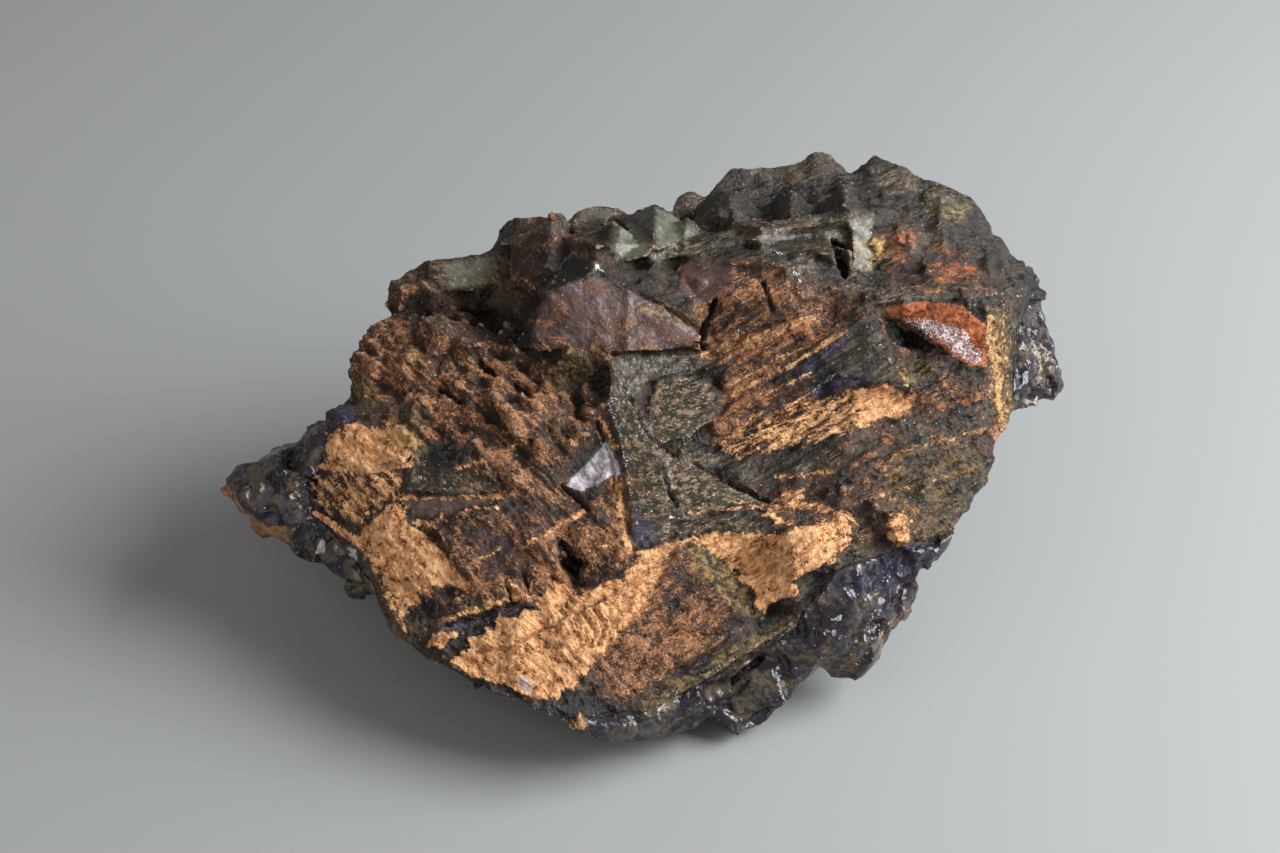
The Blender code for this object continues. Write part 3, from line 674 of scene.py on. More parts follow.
# Deep violet.
VIOLET = [
    ([(326, 408), (352, 402), (356, 424), (330, 430)], 5, 1.0),
    ([(656, 563), (686, 556), (684, 576), (664, 606), (656, 596)], 4, 1.0),
    ([(443, 625), (478, 615), (502, 609), (523, 597), (526, 602), (500, 616), (476, 624),
      (444, 632)], 3, 1.0),
    ([(476, 654), (527, 637), (543, 630), (545, 634), (506, 654)], 3, 0.9),
    ([(800, 398), (846, 372), (880, 380), (846, 390), (812, 408)], 5, 0.9),
    ([(790, 372), (846, 334), (850, 342), (800, 382)], 4, 0.7),
    ([(630, 510), (650, 520), (660, 545), (636, 548)], 4, 0.8),
    ([(816, 590), (850, 566), (905, 546), (938, 553), (925, 573), (880, 590), (828, 602)], 4, 1.0),
    ([(966, 510), (985, 500), (970, 540), (948, 556)], 5, 0.8),
    ([(470, 685), (512, 694), (508, 704), (470, 694)], 4, 0.8),
]
# Bright orange iron.
ORANGE = [
    ([(900, 303), (922, 300), (963, 304), (987, 326), (989, 366), (970, 367), (938, 345), (925, 330),
      (904, 322)], 4, 1.0),
    ([(884, 306), (904, 303), (908, 318), (888, 318)], 3, 0.8),
    ([(724, 360), (812, 318), (814, 326), (740, 364)], 4, 0.7),
    ([(886, 234), (916, 224), (921, 246), (906, 266), (886, 262)], 6, 0.6),
    ([(926, 262), (956, 258), (990, 268), (974, 287), (930, 286)], 6, 0.6),
    ([(930, 400), (975, 395), (975, 410), (932, 412)], 5, 0.6),
    ([(500, 322), (520, 318), (524, 330), (506, 334)], 6, 0.6),
]
# Painted glints: white sparkle on small facets.
PAINTED_GLINTS = [
    ([(905, 315), (935, 318), (965, 326), (984, 350), (984, 366), (968, 364), (936, 342),
      (908, 326)], 6, 0.78),
    ([(868, 570), (896, 564), (892, 584), (872, 592)], 3, 0.5),
    ([(795, 402), (830, 372), (846, 366), (836, 380), (804, 404)], 4, 0.6),
    ([(785, 262), (800, 268), (808, 290), (794, 286)], 5, 0.6),
    ([(258, 480), (266, 482), (267, 496), (260, 494)], 3, 0.8),
    ([(1020, 340), (1050, 350), (1048, 386), (1024, 398)], 8, 0.45),
    ([(856, 606), (896, 604), (884, 642), (860, 636)], 6, 0.5),
]
# Thin dotted lines of painted glints along edges and ridges.
PAINTED_GLINT_LINES = [
    ([(607, 402), (621, 440), (628, 480), (631, 495)], 3, 0.62),
    ([(607, 402), (617, 399)], 4, 0.62),
    ([(650, 398), (658, 381), (690, 374)], 3, 0.50),
    ([(660, 698), (691, 687), (720, 665), (761, 645), (800, 622), (826, 590)], 5, 0.53),
    ([(668, 517), (684, 519)], 3, 0.68),
    ([(698, 524), (712, 526)], 2, 0.56),
    ([(597, 264), (603, 272)], 4, 0.74),
    ([(772, 250), (784, 254)], 3, 0.74),
    ([(955, 297), (1000, 293), (1048, 297)], 3, 0.56),
    ([(862, 296), (920, 292), (960, 294)], 2, 0.43),
    ([(420, 478), (428, 480)], 3, 0.68),
    ([(404, 494), (420, 497)], 4, 0.50),
    ([(868, 592), (894, 580), (907, 560)], 2, 0.56),
    ([(388, 612), (404, 644)], 4, 0.50),
    ([(446, 672), (500, 694)], 3, 0.50),
    ([(826, 560), (840, 580)], 4, 0.43),
    ([(975, 402), (984, 420)], 4, 0.50),
    ([(905, 200), (940, 232)], 3, 0.50),
    ([(797, 193), (814, 192), (830, 212)], 2, 0.52),
    ([(838, 197), (878, 184), (896, 189)], 2, 0.52),
]
# Painted light on clean facets: white glints at full amount, and lighter grey on crystal faces turned to the
# light below that.
PAINTED_LIGHT_FACETS = [
    ([(563, 486), (606, 440), (618, 460), (621, 474), (582, 492)], 3, 1.0),
    ([(344, 546), (358, 548), (357, 562), (346, 560)], 3, 1.0),
    ([(513, 674), (523, 674), (534, 682), (530, 692), (520, 690)], 2, 1.0),
    ([(318, 540), (328, 538), (324, 556), (314, 556)], 3, 0.9),
    ([(625, 219), (645, 232), (651, 256), (625, 262), (614, 252)], 4, 0.45),
    ([(656, 205), (702, 233), (679, 242), (656, 252)], 3, 0.42),
    ([(438, 262), (498, 256), (500, 268), (486, 284), (450, 288)], 5, 0.38),
    ([(640, 263), (716, 241), (800, 232), (846, 217), (850, 240), (780, 243), (720, 248),
      (680, 258)], 4, 0.30),
    ([(852, 214), (874, 218), (870, 268), (854, 268)], 4, 0.30),
    ([(544, 226), (560, 220), (558, 242), (546, 247)], 3, 0.30),
    ([(570, 224), (584, 208), (618, 207), (610, 219)], 3, 0.32),
    ([(926, 194), (946, 188), (966, 205), (950, 216)], 4, 0.32),
    ([(872, 300), (960, 292), (962, 297), (872, 303)], 2, 0.6),
]
# Dark glossy facets, and painted shade in deep gaps and on crystal faces turned away from the light.
DARK_AND_PAINTED_SHADE = [
    ([(549, 291), (556, 267), (573, 254), (590, 259), (597, 268), (586, 277)], 2, 1.0),
    ([(628, 219), (654, 205), (655, 240), (645, 232)], 2, 0.9),
    ([(475, 218), (500, 206), (520, 214), (512, 232), (480, 250)], 6, 0.6),
    ([(420, 445), (456, 440), (470, 470), (430, 480)], 6, 1.0),
    ([(555, 536), (586, 562), (578, 580), (562, 566)], 3, 1.0),
    ([(500, 306), (524, 316), (534, 345), (505, 340)], 6, 0.8),
    ([(884, 318), (930, 342), (925, 352), (890, 345)], 4, 0.9),
    ([(930, 300), (952, 302), (958, 318), (944, 318)], 4, 0.8),
    ([(815, 256), (832, 258), (836, 274), (818, 272)], 3, 0.9),
    ([(834, 244), (846, 246), (848, 276), (836, 274)], 3, 0.9),
    ([(760, 238), (800, 246), (796, 262), (770, 258)], 4, 0.6),
    ([(442, 632), (520, 604), (540, 606), (500, 634), (470, 652), (452, 656)], 6, 0.8),
    ([(910, 356), (940, 366), (936, 384), (905, 384)], 5, 0.8),
    ([(866, 316), (918, 392), (884, 384), (842, 376), (822, 360)], 5, 0.6),
    ([(905, 420), (985, 400), (985, 490), (940, 540), (900, 480)], 14, 0.5),
    ([(760, 470), (880, 446), (890, 470), (800, 500)], 12, 0.35),
    ([(424, 458), (440, 440), (470, 452), (462, 470)], 4, 1.0),
    ([(704, 206), (760, 182), (860, 174), (985, 215), (1000, 262), (930, 232), (850, 212),
      (760, 214)], 14, 0.6),
    ([(596, 418), (610, 440), (580, 470), (560, 484)], 5, 0.6),
]
# Broken glassy sides.
GLASS = [
    ([(200, 480), (226, 452), (280, 440), (306, 428), (328, 404), (326, 440), (320, 470), (314, 509),
      (373, 584), (388, 632), (430, 662), (500, 694), (560, 716), (540, 780), (200, 780)], 5, 1.0),
    ([(560, 716), (600, 718), (640, 714), (690, 690), (760, 646), (800, 618), (826, 580), (836, 572),
      (905, 546), (935, 545), (975, 505), (992, 470), (1003, 432), (1020, 412), (1100, 420), (1000, 820),
      (540, 820)], 5, 1.0),
    ([(1012, 400), (1016, 330), (1030, 300), (1090, 300), (1090, 420)], 6, 1.0),
]
# Amber parts of the broken sides.
AMBER = [
    ([(215, 484), (228, 484), (243, 508), (264, 524), (286, 526), (290, 545), (240, 540),
      (210, 500)], 4, 1.0),
    ([(820, 650), (845, 650), (842, 668), (822, 666)], 4, 0.4),
    ([(870, 640), (905, 600), (915, 604), (880, 655)], 5, 0.35),
    ([(790, 664), (840, 652), (850, 668), (800, 684)], 5, 0.35),
]
# Cracks and notches: line, width in pixels, depth in millimetres.
CRACKS = [
    ([(664, 447), (682, 460), (709, 474), (768, 501)], 2.5, 1.3),
    ([(562, 486), (588, 508)], 3, 1.2),
    ([(504, 578), (511, 598)], 2.5, 1.2),
    ([(523, 574), (529, 594)], 2.5, 1.2),
    ([(631, 399), (646, 432), (660, 446)], 2, 0.9),
    ([(476, 652), (506, 648), (527, 638), (543, 630), (572, 613), (604, 600)], 2, 0.9),
    ([(443, 627), (478, 617), (523, 598)], 3, 1.0),
    ([(594, 609), (604, 625), (598, 645)], 2, 0.9),
    ([(582, 612), (594, 632), (590, 648)], 2, 0.7),
    ([(570, 624), (580, 640), (578, 652)], 2, 0.6),
    ([(440, 388), (460, 402)], 4, 1.4),
    ([(480, 362), (495, 376)], 4, 1.4),
    ([(516, 386), (530, 398)], 4, 1.4),
    ([(598, 423), (612, 466), (616, 500)], 2.5, 0.8),
    ([(663, 466), (668, 485), (677, 506)], 2, 0.8),
    ([(732, 682), (761, 659)], 4, 2.5),
    ([(834, 242), (845, 275)], 5, 2.0),
    ([(706, 324), (704, 348)], 3, 2.0),
    ([(523, 348), (545, 356), (565, 350)], 3, 1.2),
    ([(612, 354), (640, 354), (698, 352)], 3, 1.4),
    ([(602, 273), (650, 298), (700, 330)], 2, 0.9),
    ([(600, 600), (640, 576)], 1.5, 0.5),
    ([(560, 590), (576, 604)], 1.5, 0.6),
    ([(690, 514), (800, 510)], 1.5, 0.4),
    ([(640, 522), (760, 526)], 1.5, 0.4),
    ([(764, 282), (772, 310)], 3, 1.4),
    ([(716, 300), (706, 326)], 3, 1.4),
    ([(430, 664), (470, 690)], 3, 1.0),
]
# Hollows and heaps of the crust: polygon, feather, and how far out.
RELIEF = [
    ([(444, 316), (500, 308), (524, 318), (530, 345), (500, 345), (460, 335)], 6, -3.0),
    ([(554, 536), (586, 564), (576, 581), (562, 568)], 3, -4.0),
    ([(882, 316), (906, 322), (933, 345), (905, 349), (888, 335)], 4, -3.0),
    ([(562, 380), (582, 378), (580, 404), (582, 424), (572, 410)], 4, -2.5),
    ([(834, 244), (846, 246), (848, 274), (836, 272)], 3, -2.5),
    ([(815, 255), (832, 258), (834, 272), (818, 272)], 4, -2.5),
    ([(784, 530), (826, 520), (852, 536), (838, 566), (810, 572), (797, 580), (790, 560)], 6, 1.6),
    ([(742, 582), (797, 570), (796, 599), (768, 604), (760, 618), (750, 604)], 6, 1.8),
    ([(735, 545), (770, 540), (770, 570), (742, 580), (728, 566)], 8, -1.4),
    ([(885, 512), (899, 510), (909, 524), (908, 542), (894, 544)], 4, 1.6),
    ([(827, 517), (840, 514), (858, 522), (854, 536), (838, 530)], 3, 1.2),
    ([(540, 610), (600, 600), (604, 650), (560, 660)], 10, 0.8),
    ([(427, 650), (439, 631), (460, 627), (451, 648)], 4, 1.2),
]
# Parts of the rim that the breaks leave whole.
UNBROKEN = [
    ([(462, 668), (515, 678), (518, 714), (468, 712)], 8, 1.0),
    ([(534, 700), (572, 712), (574, 738), (530, 730)], 8, 1.0),
]


# ---------------------------------------------------------------- the broken and worn shape

# Cleavage planes on the broken sides: how many, how far they follow the crystals' planes instead of the
# surface, and the most that they cut.
BREAKS = ((340, 0.7, 1.9), (1350, 0.9, 0.8))
BREAK_EASING = 16  # rounds of smoothing before the cuts
BREAK_SCATTER = (0.2, 0.12)  # of which plane a break likes, and of its turn
HIDING_CELL = 4.0  # pixels across the squares in which the nearest part hides what lies behind
HIDING_DEPTHS = (5.0, 14.0)  # how far behind that part a place begins to count as hidden, and fully does
FACING_SLOPES = (-0.1, 0.3)  # how far a face is turned to the camera where it begins to count, and fully does
DRIFTS = (13.0, 20.0)  # pixels that outlines wander, broadly and along the crystals' streaks
STREAK_SLOPES = (0.9, -0.55)  # rows that the streaks shift for each column, on the left and the right
TOP_ROWS = (235, 330)  # pixels over which the smoother top gives way to the rough front
TOP_ROUGHNESS = 0.45  # how high streaks and grit stand there, as a share of the front's
CLAY_LEAST, CLAY_CRUMBS, CLAY_HEIGHT = 0.35, 2.2, 0.8  # even clay, its crumbs, and a share of both
STREAK_HEIGHT, STREAK_STEP = 3.0, 0.45
GRIT_HEIGHT = 0.7


def vertices_of(mesh):
    """Places in millimetres and normals of the mesh's vertices."""
    count = len(mesh.vertices)
    places, normals = np.empty(count * 3), np.empty(count * 3)
    mesh.vertices.foreach_get("co", places)
    mesh.vertices.foreach_get("normal", normals)
    return places.reshape(-1, 3) / MM, normals.reshape(-1, 3)


def edge_ends(mesh):
    """The two vertices of each edge, and how many edges each vertex has."""
    ends = np.empty(len(mesh.edges) * 2, np.int32)
    mesh.edges.foreach_get("vertices", ends)
    return ends[0::2], ends[1::2], np.bincount(ends, minlength=len(mesh.vertices)).astype(float)


def smoothed(mesh, values, rounds):
    """Values on the vertices, blurred over their neighbours."""
    a, b, tally = edge_ends(mesh)
    for _round in range(rounds):
        total = np.empty_like(values)
        for axis, value in enumerate(values.T):
            total[:, axis] = np.bincount(a, value[b], len(value)) + np.bincount(b, value[a], len(value))
        values = 0.5 * values + 0.5 * total / tally[:, None]
    return values


def bulge(mesh, places, normals):
    """How far each vertex stands above its neighbours: positive on edges, negative in corners."""
    a, b, tally = edge_ends(mesh)
    edge = places[b] - places[a]
    edge /= np.linalg.norm(edge, axis=1)[:, None] + 1e-6
    at_a, at_b = -(edge * normals[a]).sum(axis=1), (edge * normals[b]).sum(axis=1)
    value = np.bincount(a, at_a, len(places)) + np.bincount(b, at_b, len(places))
    return smoothed(mesh, (value / tally)[:, None], 2)[:, 0]


def behind(x, y, depth):
    """How far each vertex lies behind the nearest part of the stone that the camera sees there."""
    columns, rows = int(FRAME_WIDTH / HIDING_CELL) + 1, int(FRAME_HEIGHT / HIDING_CELL) + 1
    cx = np.clip((x / HIDING_CELL).astype(int), 0, columns - 1)
    cy = np.clip((y / HIDING_CELL).astype(int), 0, rows - 1)
    nearest = np.full((rows, columns), 1e9)
    np.minimum.at(nearest, (cy, cx), depth)
    return depth - nearest[cy, cx]


def on_view(stone):
    """Places, normals and pixels of the vertices, and how far the camera has them hidden or facing it."""
    places, normals = vertices_of(stone.data)
    x, y, depth = seen(places)
    hidden = smooth(*HIDING_DEPTHS, behind(x, y, depth))
    facing = smooth(*FACING_SLOPES, normals @ np.array(TO_EYE))
    return places, normals, x, y, hidden, facing


def wandering(x, y, places, share):
    """The pixels shifted to and fro, so that outlines have a natural, streaky edge, and a share of that."""
    broad, tight = DRIFTS
    wide_x, wide_y = ((layered_noise(places, 10.0, seed) - 0.5) * broad for seed in (31, 47))
    tight_x, tight_y = (streaky(places, x, 1.5, 5.0, seed, 2) * tight for seed in (36, 52))
    slope = STREAK_SLOPES[0] * (1.0 - on_right(x)) + STREAK_SLOPES[1] * on_right(x)
    wx, wy = x + wide_x + tight_x, y + wide_y + tight_x * slope + tight_y * 0.35
    return wx, wy, x + (wx - x) * share, y + (wy - y) * share


def settled(stone, places):
    """Puts the vertices where they now belong, on or above the table and within the block's own size."""
    places[:, 2] = np.maximum(places[:, 2], 0.0)
    low, high = np.array(cad_box[0]) / MM, np.array(cad_box[1]) / MM
    room = (high - low) * ROOM
    places = np.clip(places, low - room * (1, 1, 0), high + room)
    stone.data.vertices.foreach_set("co", (places * MM).ravel())
    stone.data.update()


def cleavage_cuts(places, normals, share, count, spread, most):
    """How far each vertex moves along its normal to lie on flat cleavage planes around the broken sides."""
    picks = rng.choice(len(places), count, p=share / share.sum())
    axes = np.array(crystal_axes())
    planes = np.array(list(product((-1, 1), repeat=3))) / math.sqrt(3) @ axes.T
    liking = normals[picks] @ planes.T + rng.normal(0.0, BREAK_SCATTER[0], (count, 8))
    faces = normals[picks] + planes[liking.argmax(axis=1)] * spread
    faces += rng.normal(0.0, BREAK_SCATTER[1], (count, 3))
    faces /= np.linalg.norm(faces, axis=1)[:, None]
    tree = KDTree(count)
    for i, pick in enumerate(picks):
        tree.insert(places[pick], i)
    tree.balance()
    touched = share > 0.01
    moves = np.zeros(len(places))
    for i in np.flatnonzero(touched):
        place, normal = places[i], normals[i]
        lowest = 2.0 * most
        for seed, index, _gap in tree.find_n(place, 3):
            face = faces[index]
            lean = max(float(normal @ face), 0.6)
            lowest = min(lowest, float((np.array(seed) - place) @ face) / lean)
        moves[i] = lowest
    moves[touched] = np.clip(moves[touched] - moves[touched].mean(), -most, most)
    return moves


def broken_off(stone):
    """Cuts the broken sides to large and small cleavage planes, and the crust to its hollows and lumps."""
    places, normals, x, y, hidden, facing = on_view(stone)
    _wx, _wy, nx, ny = wandering(x, y, places, 0.2)
    glass = np.maximum(painted(nx, ny, GLASS), hidden) * smooth(0.0, 1.5, places[:, 2])
    share = np.where(glass > 0.5, glass, 0.0)
    broad = smoothed(stone.data, normals, BREAK_EASING)
    broad /= np.linalg.norm(broad, axis=1)[:, None]
    eased = smoothed(stone.data, places, BREAK_EASING)
    shrunk = ((places - eased) * broad).sum(axis=1)[share > 0.5].mean()
    glass = glass * (1.0 - painted(x, y, UNBROKEN))
    places += (eased + broad * shrunk - places) * glass[:, None]
    for count, spread, most in BREAKS:
        cut = cleavage_cuts(places, broad, share, count, spread, most)
        places += broad * (cut * glass)[:, None]
    move = np.zeros(len(places))
    for corners, feather, rise in RELIEF:
        move += patch(nx, ny, corners, feather) * rise * (1.0 - hidden) * facing
    places += np.outer(move, np.array(TO_EYE))
    settled(stone, places)


def terraced(rise, pitch):
    """Heights brought to flat steps of a pitch, with steep risers between."""
    level = rise / pitch
    return (np.floor(level) + smooth(0.3, 0.7, level - np.floor(level))) * pitch


def carved(stone):
    """Moves the fine mesh: cracks in, clay out, and a streaky grain over everything."""
    places, normals, x, y, hidden, facing = on_view(stone)
    on_crust = (1.0 - hidden) * facing
    wx, wy, nx, ny = wandering(x, y, places, 0.15)
    clay = painted(wx, wy, CLAY) * on_crust
    calm = np.maximum(painted(nx, ny, CALM) * on_crust, painted(nx, ny, MAUVE) * on_crust * 0.8)
    glass = np.maximum(painted(wx, wy, GLASS), hidden)
    near_front = TOP_ROUGHNESS + (1.0 - TOP_ROUGHNESS) * smooth(*TOP_ROWS, y)
    move = np.zeros(len(places))
    for line, width, deep in CRACKS:
        move -= stroke(nx, ny, line, width * 0.5, 2.5) * deep * on_crust
    fibres = streaky(places, x, 1.3, 4.0, 15)
    crumbs = 0.45 * layered_noise(places, 2.2, 3) + 0.55 * (fibres + 0.5)
    heap = smooth(0.55, 0.95, clay + (crumbs - 0.5) * 1.3)
    move += heap * (CLAY_LEAST + CLAY_CRUMBS * (crumbs - 0.42)) * CLAY_HEIGHT
    steps = terraced(streaky(places, x, 1.9, 6.0, 9) * STREAK_HEIGHT, STREAK_STEP)
    move += steps * on_crust * near_front * (1.0 - glass) * (1.0 - 0.92 * calm) * (1.0 - 0.6 * heap)
    grit = (layered_noise(places, 1.4, 5, 2) - 0.5) * GRIT_HEIGHT
    move += grit * near_front * (1.0 - 0.85 * calm) * (1.0 - 0.75 * glass)
    places += normals * (move * smooth(0.6, 3.0, places[:, 2]))[:, None]
    settled(stone, places)


def mark(mesh, name, amounts):
    """Writes an amount from 0 to 1 onto each vertex."""
    layer = mesh.attributes.new(name, "FLOAT", "POINT")
    layer.data.foreach_set("value", np.clip(amounts, 0.0, 1.0).astype(np.float32))


def marked(stone):
    """Writes what lies where onto the vertices, for the material to read."""
    mesh = stone.data
    places, normals, x, y, hidden, facing = on_view(stone)
    crust = (1.0 - hidden) * facing
    wx, wy, nx, ny = wandering(x, y, places, 0.25)
    clay = np.maximum(painted(wx, wy, CLAY), drawn(nx, ny, CLAY_LINES, 4.0))
    mark(mesh, "clay", clay * crust)
    mark(mesh, "rust", painted(wx, wy, RUST) * (1.0 - hidden))
    mark(mesh, "yellow", painted(wx, wy, YELLOW) * crust)
    # painted glints: white sparkle on marked areas and along marked lines
    mark(mesh, "frost", np.maximum(painted(nx, ny, PAINTED_GLINTS), drawn(nx, ny, PAINTED_GLINT_LINES, 2.0)) * crust)
    # pale carries painted light on facets; dark carries dark glossy facets and painted shade in gaps
    clean = {"calm": CALM, "mauve": MAUVE, "violet": VIOLET, "orange": ORANGE, "pale": PAINTED_LIGHT_FACETS, "dark": DARK_AND_PAINTED_SHADE}
    for name, areas in clean.items():
        mark(mesh, name, painted(nx, ny, areas) * crust)
    mark(mesh, "amber", painted(nx, ny, AMBER))
    mark(mesh, "glass", np.maximum(painted(nx, ny, GLASS), hidden))
    mark(mesh, "right_side", on_right(x))
    stands_out = bulge(mesh, places, normals)
    mark(mesh, "edge", 0.5 + EDGE_GAIN * stands_out / stands_out.std())
    # tall is low in hollows, where the material paints shade, and high where iron grains gather
    above = ((places - smoothed(mesh, places, TALL_REACH)) * normals).sum(axis=1)
    mark(mesh, "tall", 0.5 + above * TALL_GAIN)


# ---------------------------------------------------------------- material

MARKS = (
    "clay", "rust", "calm", "glass", "mauve", "violet", "orange", "frost", "pale", "dark", "amber", "yellow",
    "right_side", "edge", "tall",
)
# Linear colours: a single one, or the two ends of a range.
TINTS = {
    "skin": ((0.006, 0.0055, 0.005), (0.026, 0.019, 0.015)),
    "olive": ((0.012, 0.012, 0.007), (0.036, 0.032, 0.018)),
    "olive shade": (0.018, 0.016, 0.010),
    "olive streak": (0.105, 0.108, 0.075),
    "tan dust": ((0.170, 0.092, 0.048), (0.360, 0.255, 0.170)),
    "lilac": ((0.056, 0.032, 0.032), (0.180, 0.115, 0.118)),
    "stain on lilac": (0.155, 0.066, 0.034),
    "violet": ((0.007, 0.006, 0.013), (0.075, 0.064, 0.125)),
    # grey: painted light on facets turned to the light
    "grey": ((0.064, 0.064, 0.047), (0.148, 0.152, 0.120)),
    # black: dark glossy facets, and painted shade in gaps and on faces turned from the light
    "black": (0.0045, 0.0042, 0.004),
    "brown film": ((0.020, 0.009, 0.0055), (0.085, 0.036, 0.018)),
    "iron grains": ((0.170, 0.064, 0.028), (0.480, 0.235, 0.105)),
    "grains on lilac": (0.330, 0.150, 0.075),
    "worn edge": ((0.200, 0.110, 0.062), (0.430, 0.310, 0.220)),
    # painted shade in hollows
    "painted shade in hollows": (0.008, 0.0055, 0.004),
    "yellow film": ((0.018, 0.014, 0.007), (0.290, 0.190, 0.060)),
    "clay": ((0.760, 0.310, 0.112), (1.000, 0.590, 0.295)),
    "thin clay": (0.290, 0.105, 0.042),
    # painted shade on the clay in concave corners
    "painted shade on clay in corners": (0.190, 0.075, 0.030),
    "clay in pits": (0.120, 0.048, 0.022),
    "yellow clay": ((0.150, 0.092, 0.026), (0.520, 0.370, 0.140)),
    "orange": ((0.130, 0.024, 0.008), (0.560, 0.165, 0.050)),
    "purple glass": ((0.004, 0.0035, 0.005), (0.030, 0.022, 0.034)),
    "murky glass": ((0.010, 0.009, 0.006), (0.098, 0.085, 0.062)),
    "bruised glass": ((0.060, 0.050, 0.052), (0.250, 0.220, 0.218)),
    "worn glass": (0.300, 0.270, 0.265),
    "iron on glass": (0.105, 0.058, 0.028),
    "seam in glass": (0.004, 0.003, 0.003),
    "violet glass": ((0.003, 0.0025, 0.006), (0.022, 0.018, 0.050)),
    "amber glass": ((0.110, 0.042, 0.014), (0.360, 0.180, 0.070)),
    # sparkle and the pale facet tint: painted glints and painted highlights
    "sparkle": ((0.340, 0.300, 0.340), (0.800, 0.770, 0.800)),
    "painted highlight on facets": (0.560, 0.500, 0.560),
}
FLUORITE_IOR = 1.434
SPECK = 0.27  # the size of single grains
GLASS_FACET, FINE_FACET = 4.2, 1.1
BAND_DIRECTION = (1.0, 0.1, 0.0)  # along the colour bands of the fluorite


stone_look = bpy.data.materials.new("crusted_fluorite")
stone_look.use_nodes = True


class Number:
    """A number that the material works out at each place. A sum of these is made of nodes too."""

    def __init__(self, socket):
        self.socket = socket

    def __add__(self, other):
        return joined("ADD", self, other)

    def __sub__(self, other):
        return joined("SUBTRACT", self, other)

    def __rsub__(self, other):
        return joined("SUBTRACT", other, self)

    def __mul__(self, other):
        return joined("MULTIPLY", self, other)

    __radd__, __rmul__ = __add__, __mul__


def feed(entry, value):
    """Joins a number or a socket to an input, or writes a plain value there."""
    value = value.socket if isinstance(value, Number) else value
    if isinstance(value, bpy.types.NodeSocket):
        stone_look.node_tree.links.new(value, entry)
    else:
        entry.default_value = value


def node(kind, inputs=(), **settings):
    """The outputs of a new node."""
    made = stone_look.node_tree.nodes.new("ShaderNode" + kind)
    for key, value in settings.items():
        setattr(made, key, value)
    for key, value in dict(inputs).items():
        feed(made.inputs[key], value)
    return made.outputs


def joined(operation, a, b):
    return Number(node("Math", {0: a, 1: b}, operation=operation)[0])


def larger(a, b):
    return joined("MAXIMUM", a, b)


def step(value, low, high):
    """0 at low, 1 at high, with an easy slope between."""
    return Number(node("MapRange", {0: value, 1: low, 2: high}, interpolation_type="SMOOTHSTEP")[0])


def blended(share, a, b):
    """Number a where the share is 0, number b where it is 1."""
    return Number(node("Mix", {0: share, 2: a, 3: b}, data_type="FLOAT")[0])


def mixed(share, a, b):
    """The same for two colours."""
    a, b = ((*colour, 1.0) if isinstance(colour, tuple) else colour for colour in (a, b))
    return node("Mix", {0: share, 6: a, 7: b}, data_type="RGBA")[2]


def ranged(tint, across):
    """A colour within a tint's range."""
    return mixed(across, *TINTS[tint])


def laid(colour, share, tint, across=None):
    """The colour with a share of a tint laid over it; across is the place in the tint's range."""
    return mixed(share, colour, TINTS[tint] if across is None else ranged(tint, across))


def part(colour, index):
    return Number(node("SeparateColor", {0: colour})[index])


def vector(operation, a, b):
    return node("VectorMath", {0: a, 1: b}, operation=operation)[0]


def dot(a, b):
    return Number(node("VectorMath", {0: a, 1: b}, operation="DOT_PRODUCT")["Value"])


def scaled(value, factor):
    return node("VectorMath", {0: value, "Scale": factor}, operation="SCALE")[0]


def stretched(where, direction, stretch):
    """The place squeezed along a direction, so that noise read there is drawn out along it."""
    direction = Vector(direction).normalized()
    return vector("SUBTRACT", where, scaled(direction, (1.0 - 1.0 / stretch) * dot(where, direction)))


def grain(where, size, detail, roughness):
    """Noise from 0 to 1 whose largest lumps are as wide as size, in millimetres."""
    inputs = {"Vector": where, "Scale": 1.0 / size, "Detail": detail, "Roughness": roughness}
    return step(node("TexNoise", inputs)["Fac"], 0.25, 0.75)


def cells(where, size, randomness=1.0, **settings):
    inputs = {"Vector": where, "Scale": 1.0 / size, "Randomness": randomness}
    return node("TexVoronoi", inputs, **settings)


def splinters(where, size):
    """Height of small flat facets, each tilted its own way, and the random colour of each."""
    cell = cells(where, size)
    offset = vector("SUBTRACT", scaled(where, 1.0 / size), cell["Position"])
    return dot(offset, vector("SUBTRACT", cell["Color"], (0.5, 0.5, 0.5))), cell["Color"]


def readings():
    """What the material reads at each place: the marks, and the noises shared by its layers."""
    at = SimpleNamespace(**{name: Number(node("Attribute", attribute_name=name)["Fac"]) for name in MARKS})
    at.where = where = scaled(node("TexCoord")["Object"], 1.0 / MM)

    def both_ways(size, stretch, detail, roughness):
        """Noise drawn out along the crystals' main direction on either side of the stone."""
        left, right = (stretched(where, direction, stretch) for direction in (FALLING, RISING))
        either = node("Mix", {0: at.right_side, 4: left, 5: right}, data_type="VECTOR")[1]
        return grain(either, size, detail, roughness)

    at.fine = grain(where, 0.7, 3.0, 0.7)
    at.small = grain(where, 2.4, 4.0, 0.65)
    at.medium = grain(where, 5.0, 3.0, 0.55)
    at.large = grain(where, 13.0, 3.0, 0.5)
    at.powder = grain(where, 1.9, 5.0, 0.80)
    at.streaks = both_ways(1.0, 9.0, 4.0, 0.74)
    at.hairs = both_ways(0.45, 18.0, 2.0, 0.6)
    grid = vector("SNAP", where, (SPECK, SPECK, SPECK))
    chance = node("TexWhiteNoise", {"Vector": grid}, noise_dimensions="3D")["Color"]
    at.luck, at.second_luck = part(chance, 0), part(chance, 1)
    at.worn = step(0.16 * at.fine + at.edge, 0.80, 0.92)
    # concave places, where painted shade darkens the clay
    at.corner = step(at.edge, 0.46, 0.30)
    at.patchwork = part(cells(stretched(where, FALLING, 2.2), 2.6, 0.9)["Color"], 0)
    at.texture = 0.45 * at.powder + 0.55 * at.streaks
    paste = both_ways(1.1, 5.0, 5.0, 0.66)
    at.crumbs = 0.50 * paste + 0.20 * at.small + 0.12 * at.fine + 0.18 * at.powder
    return at


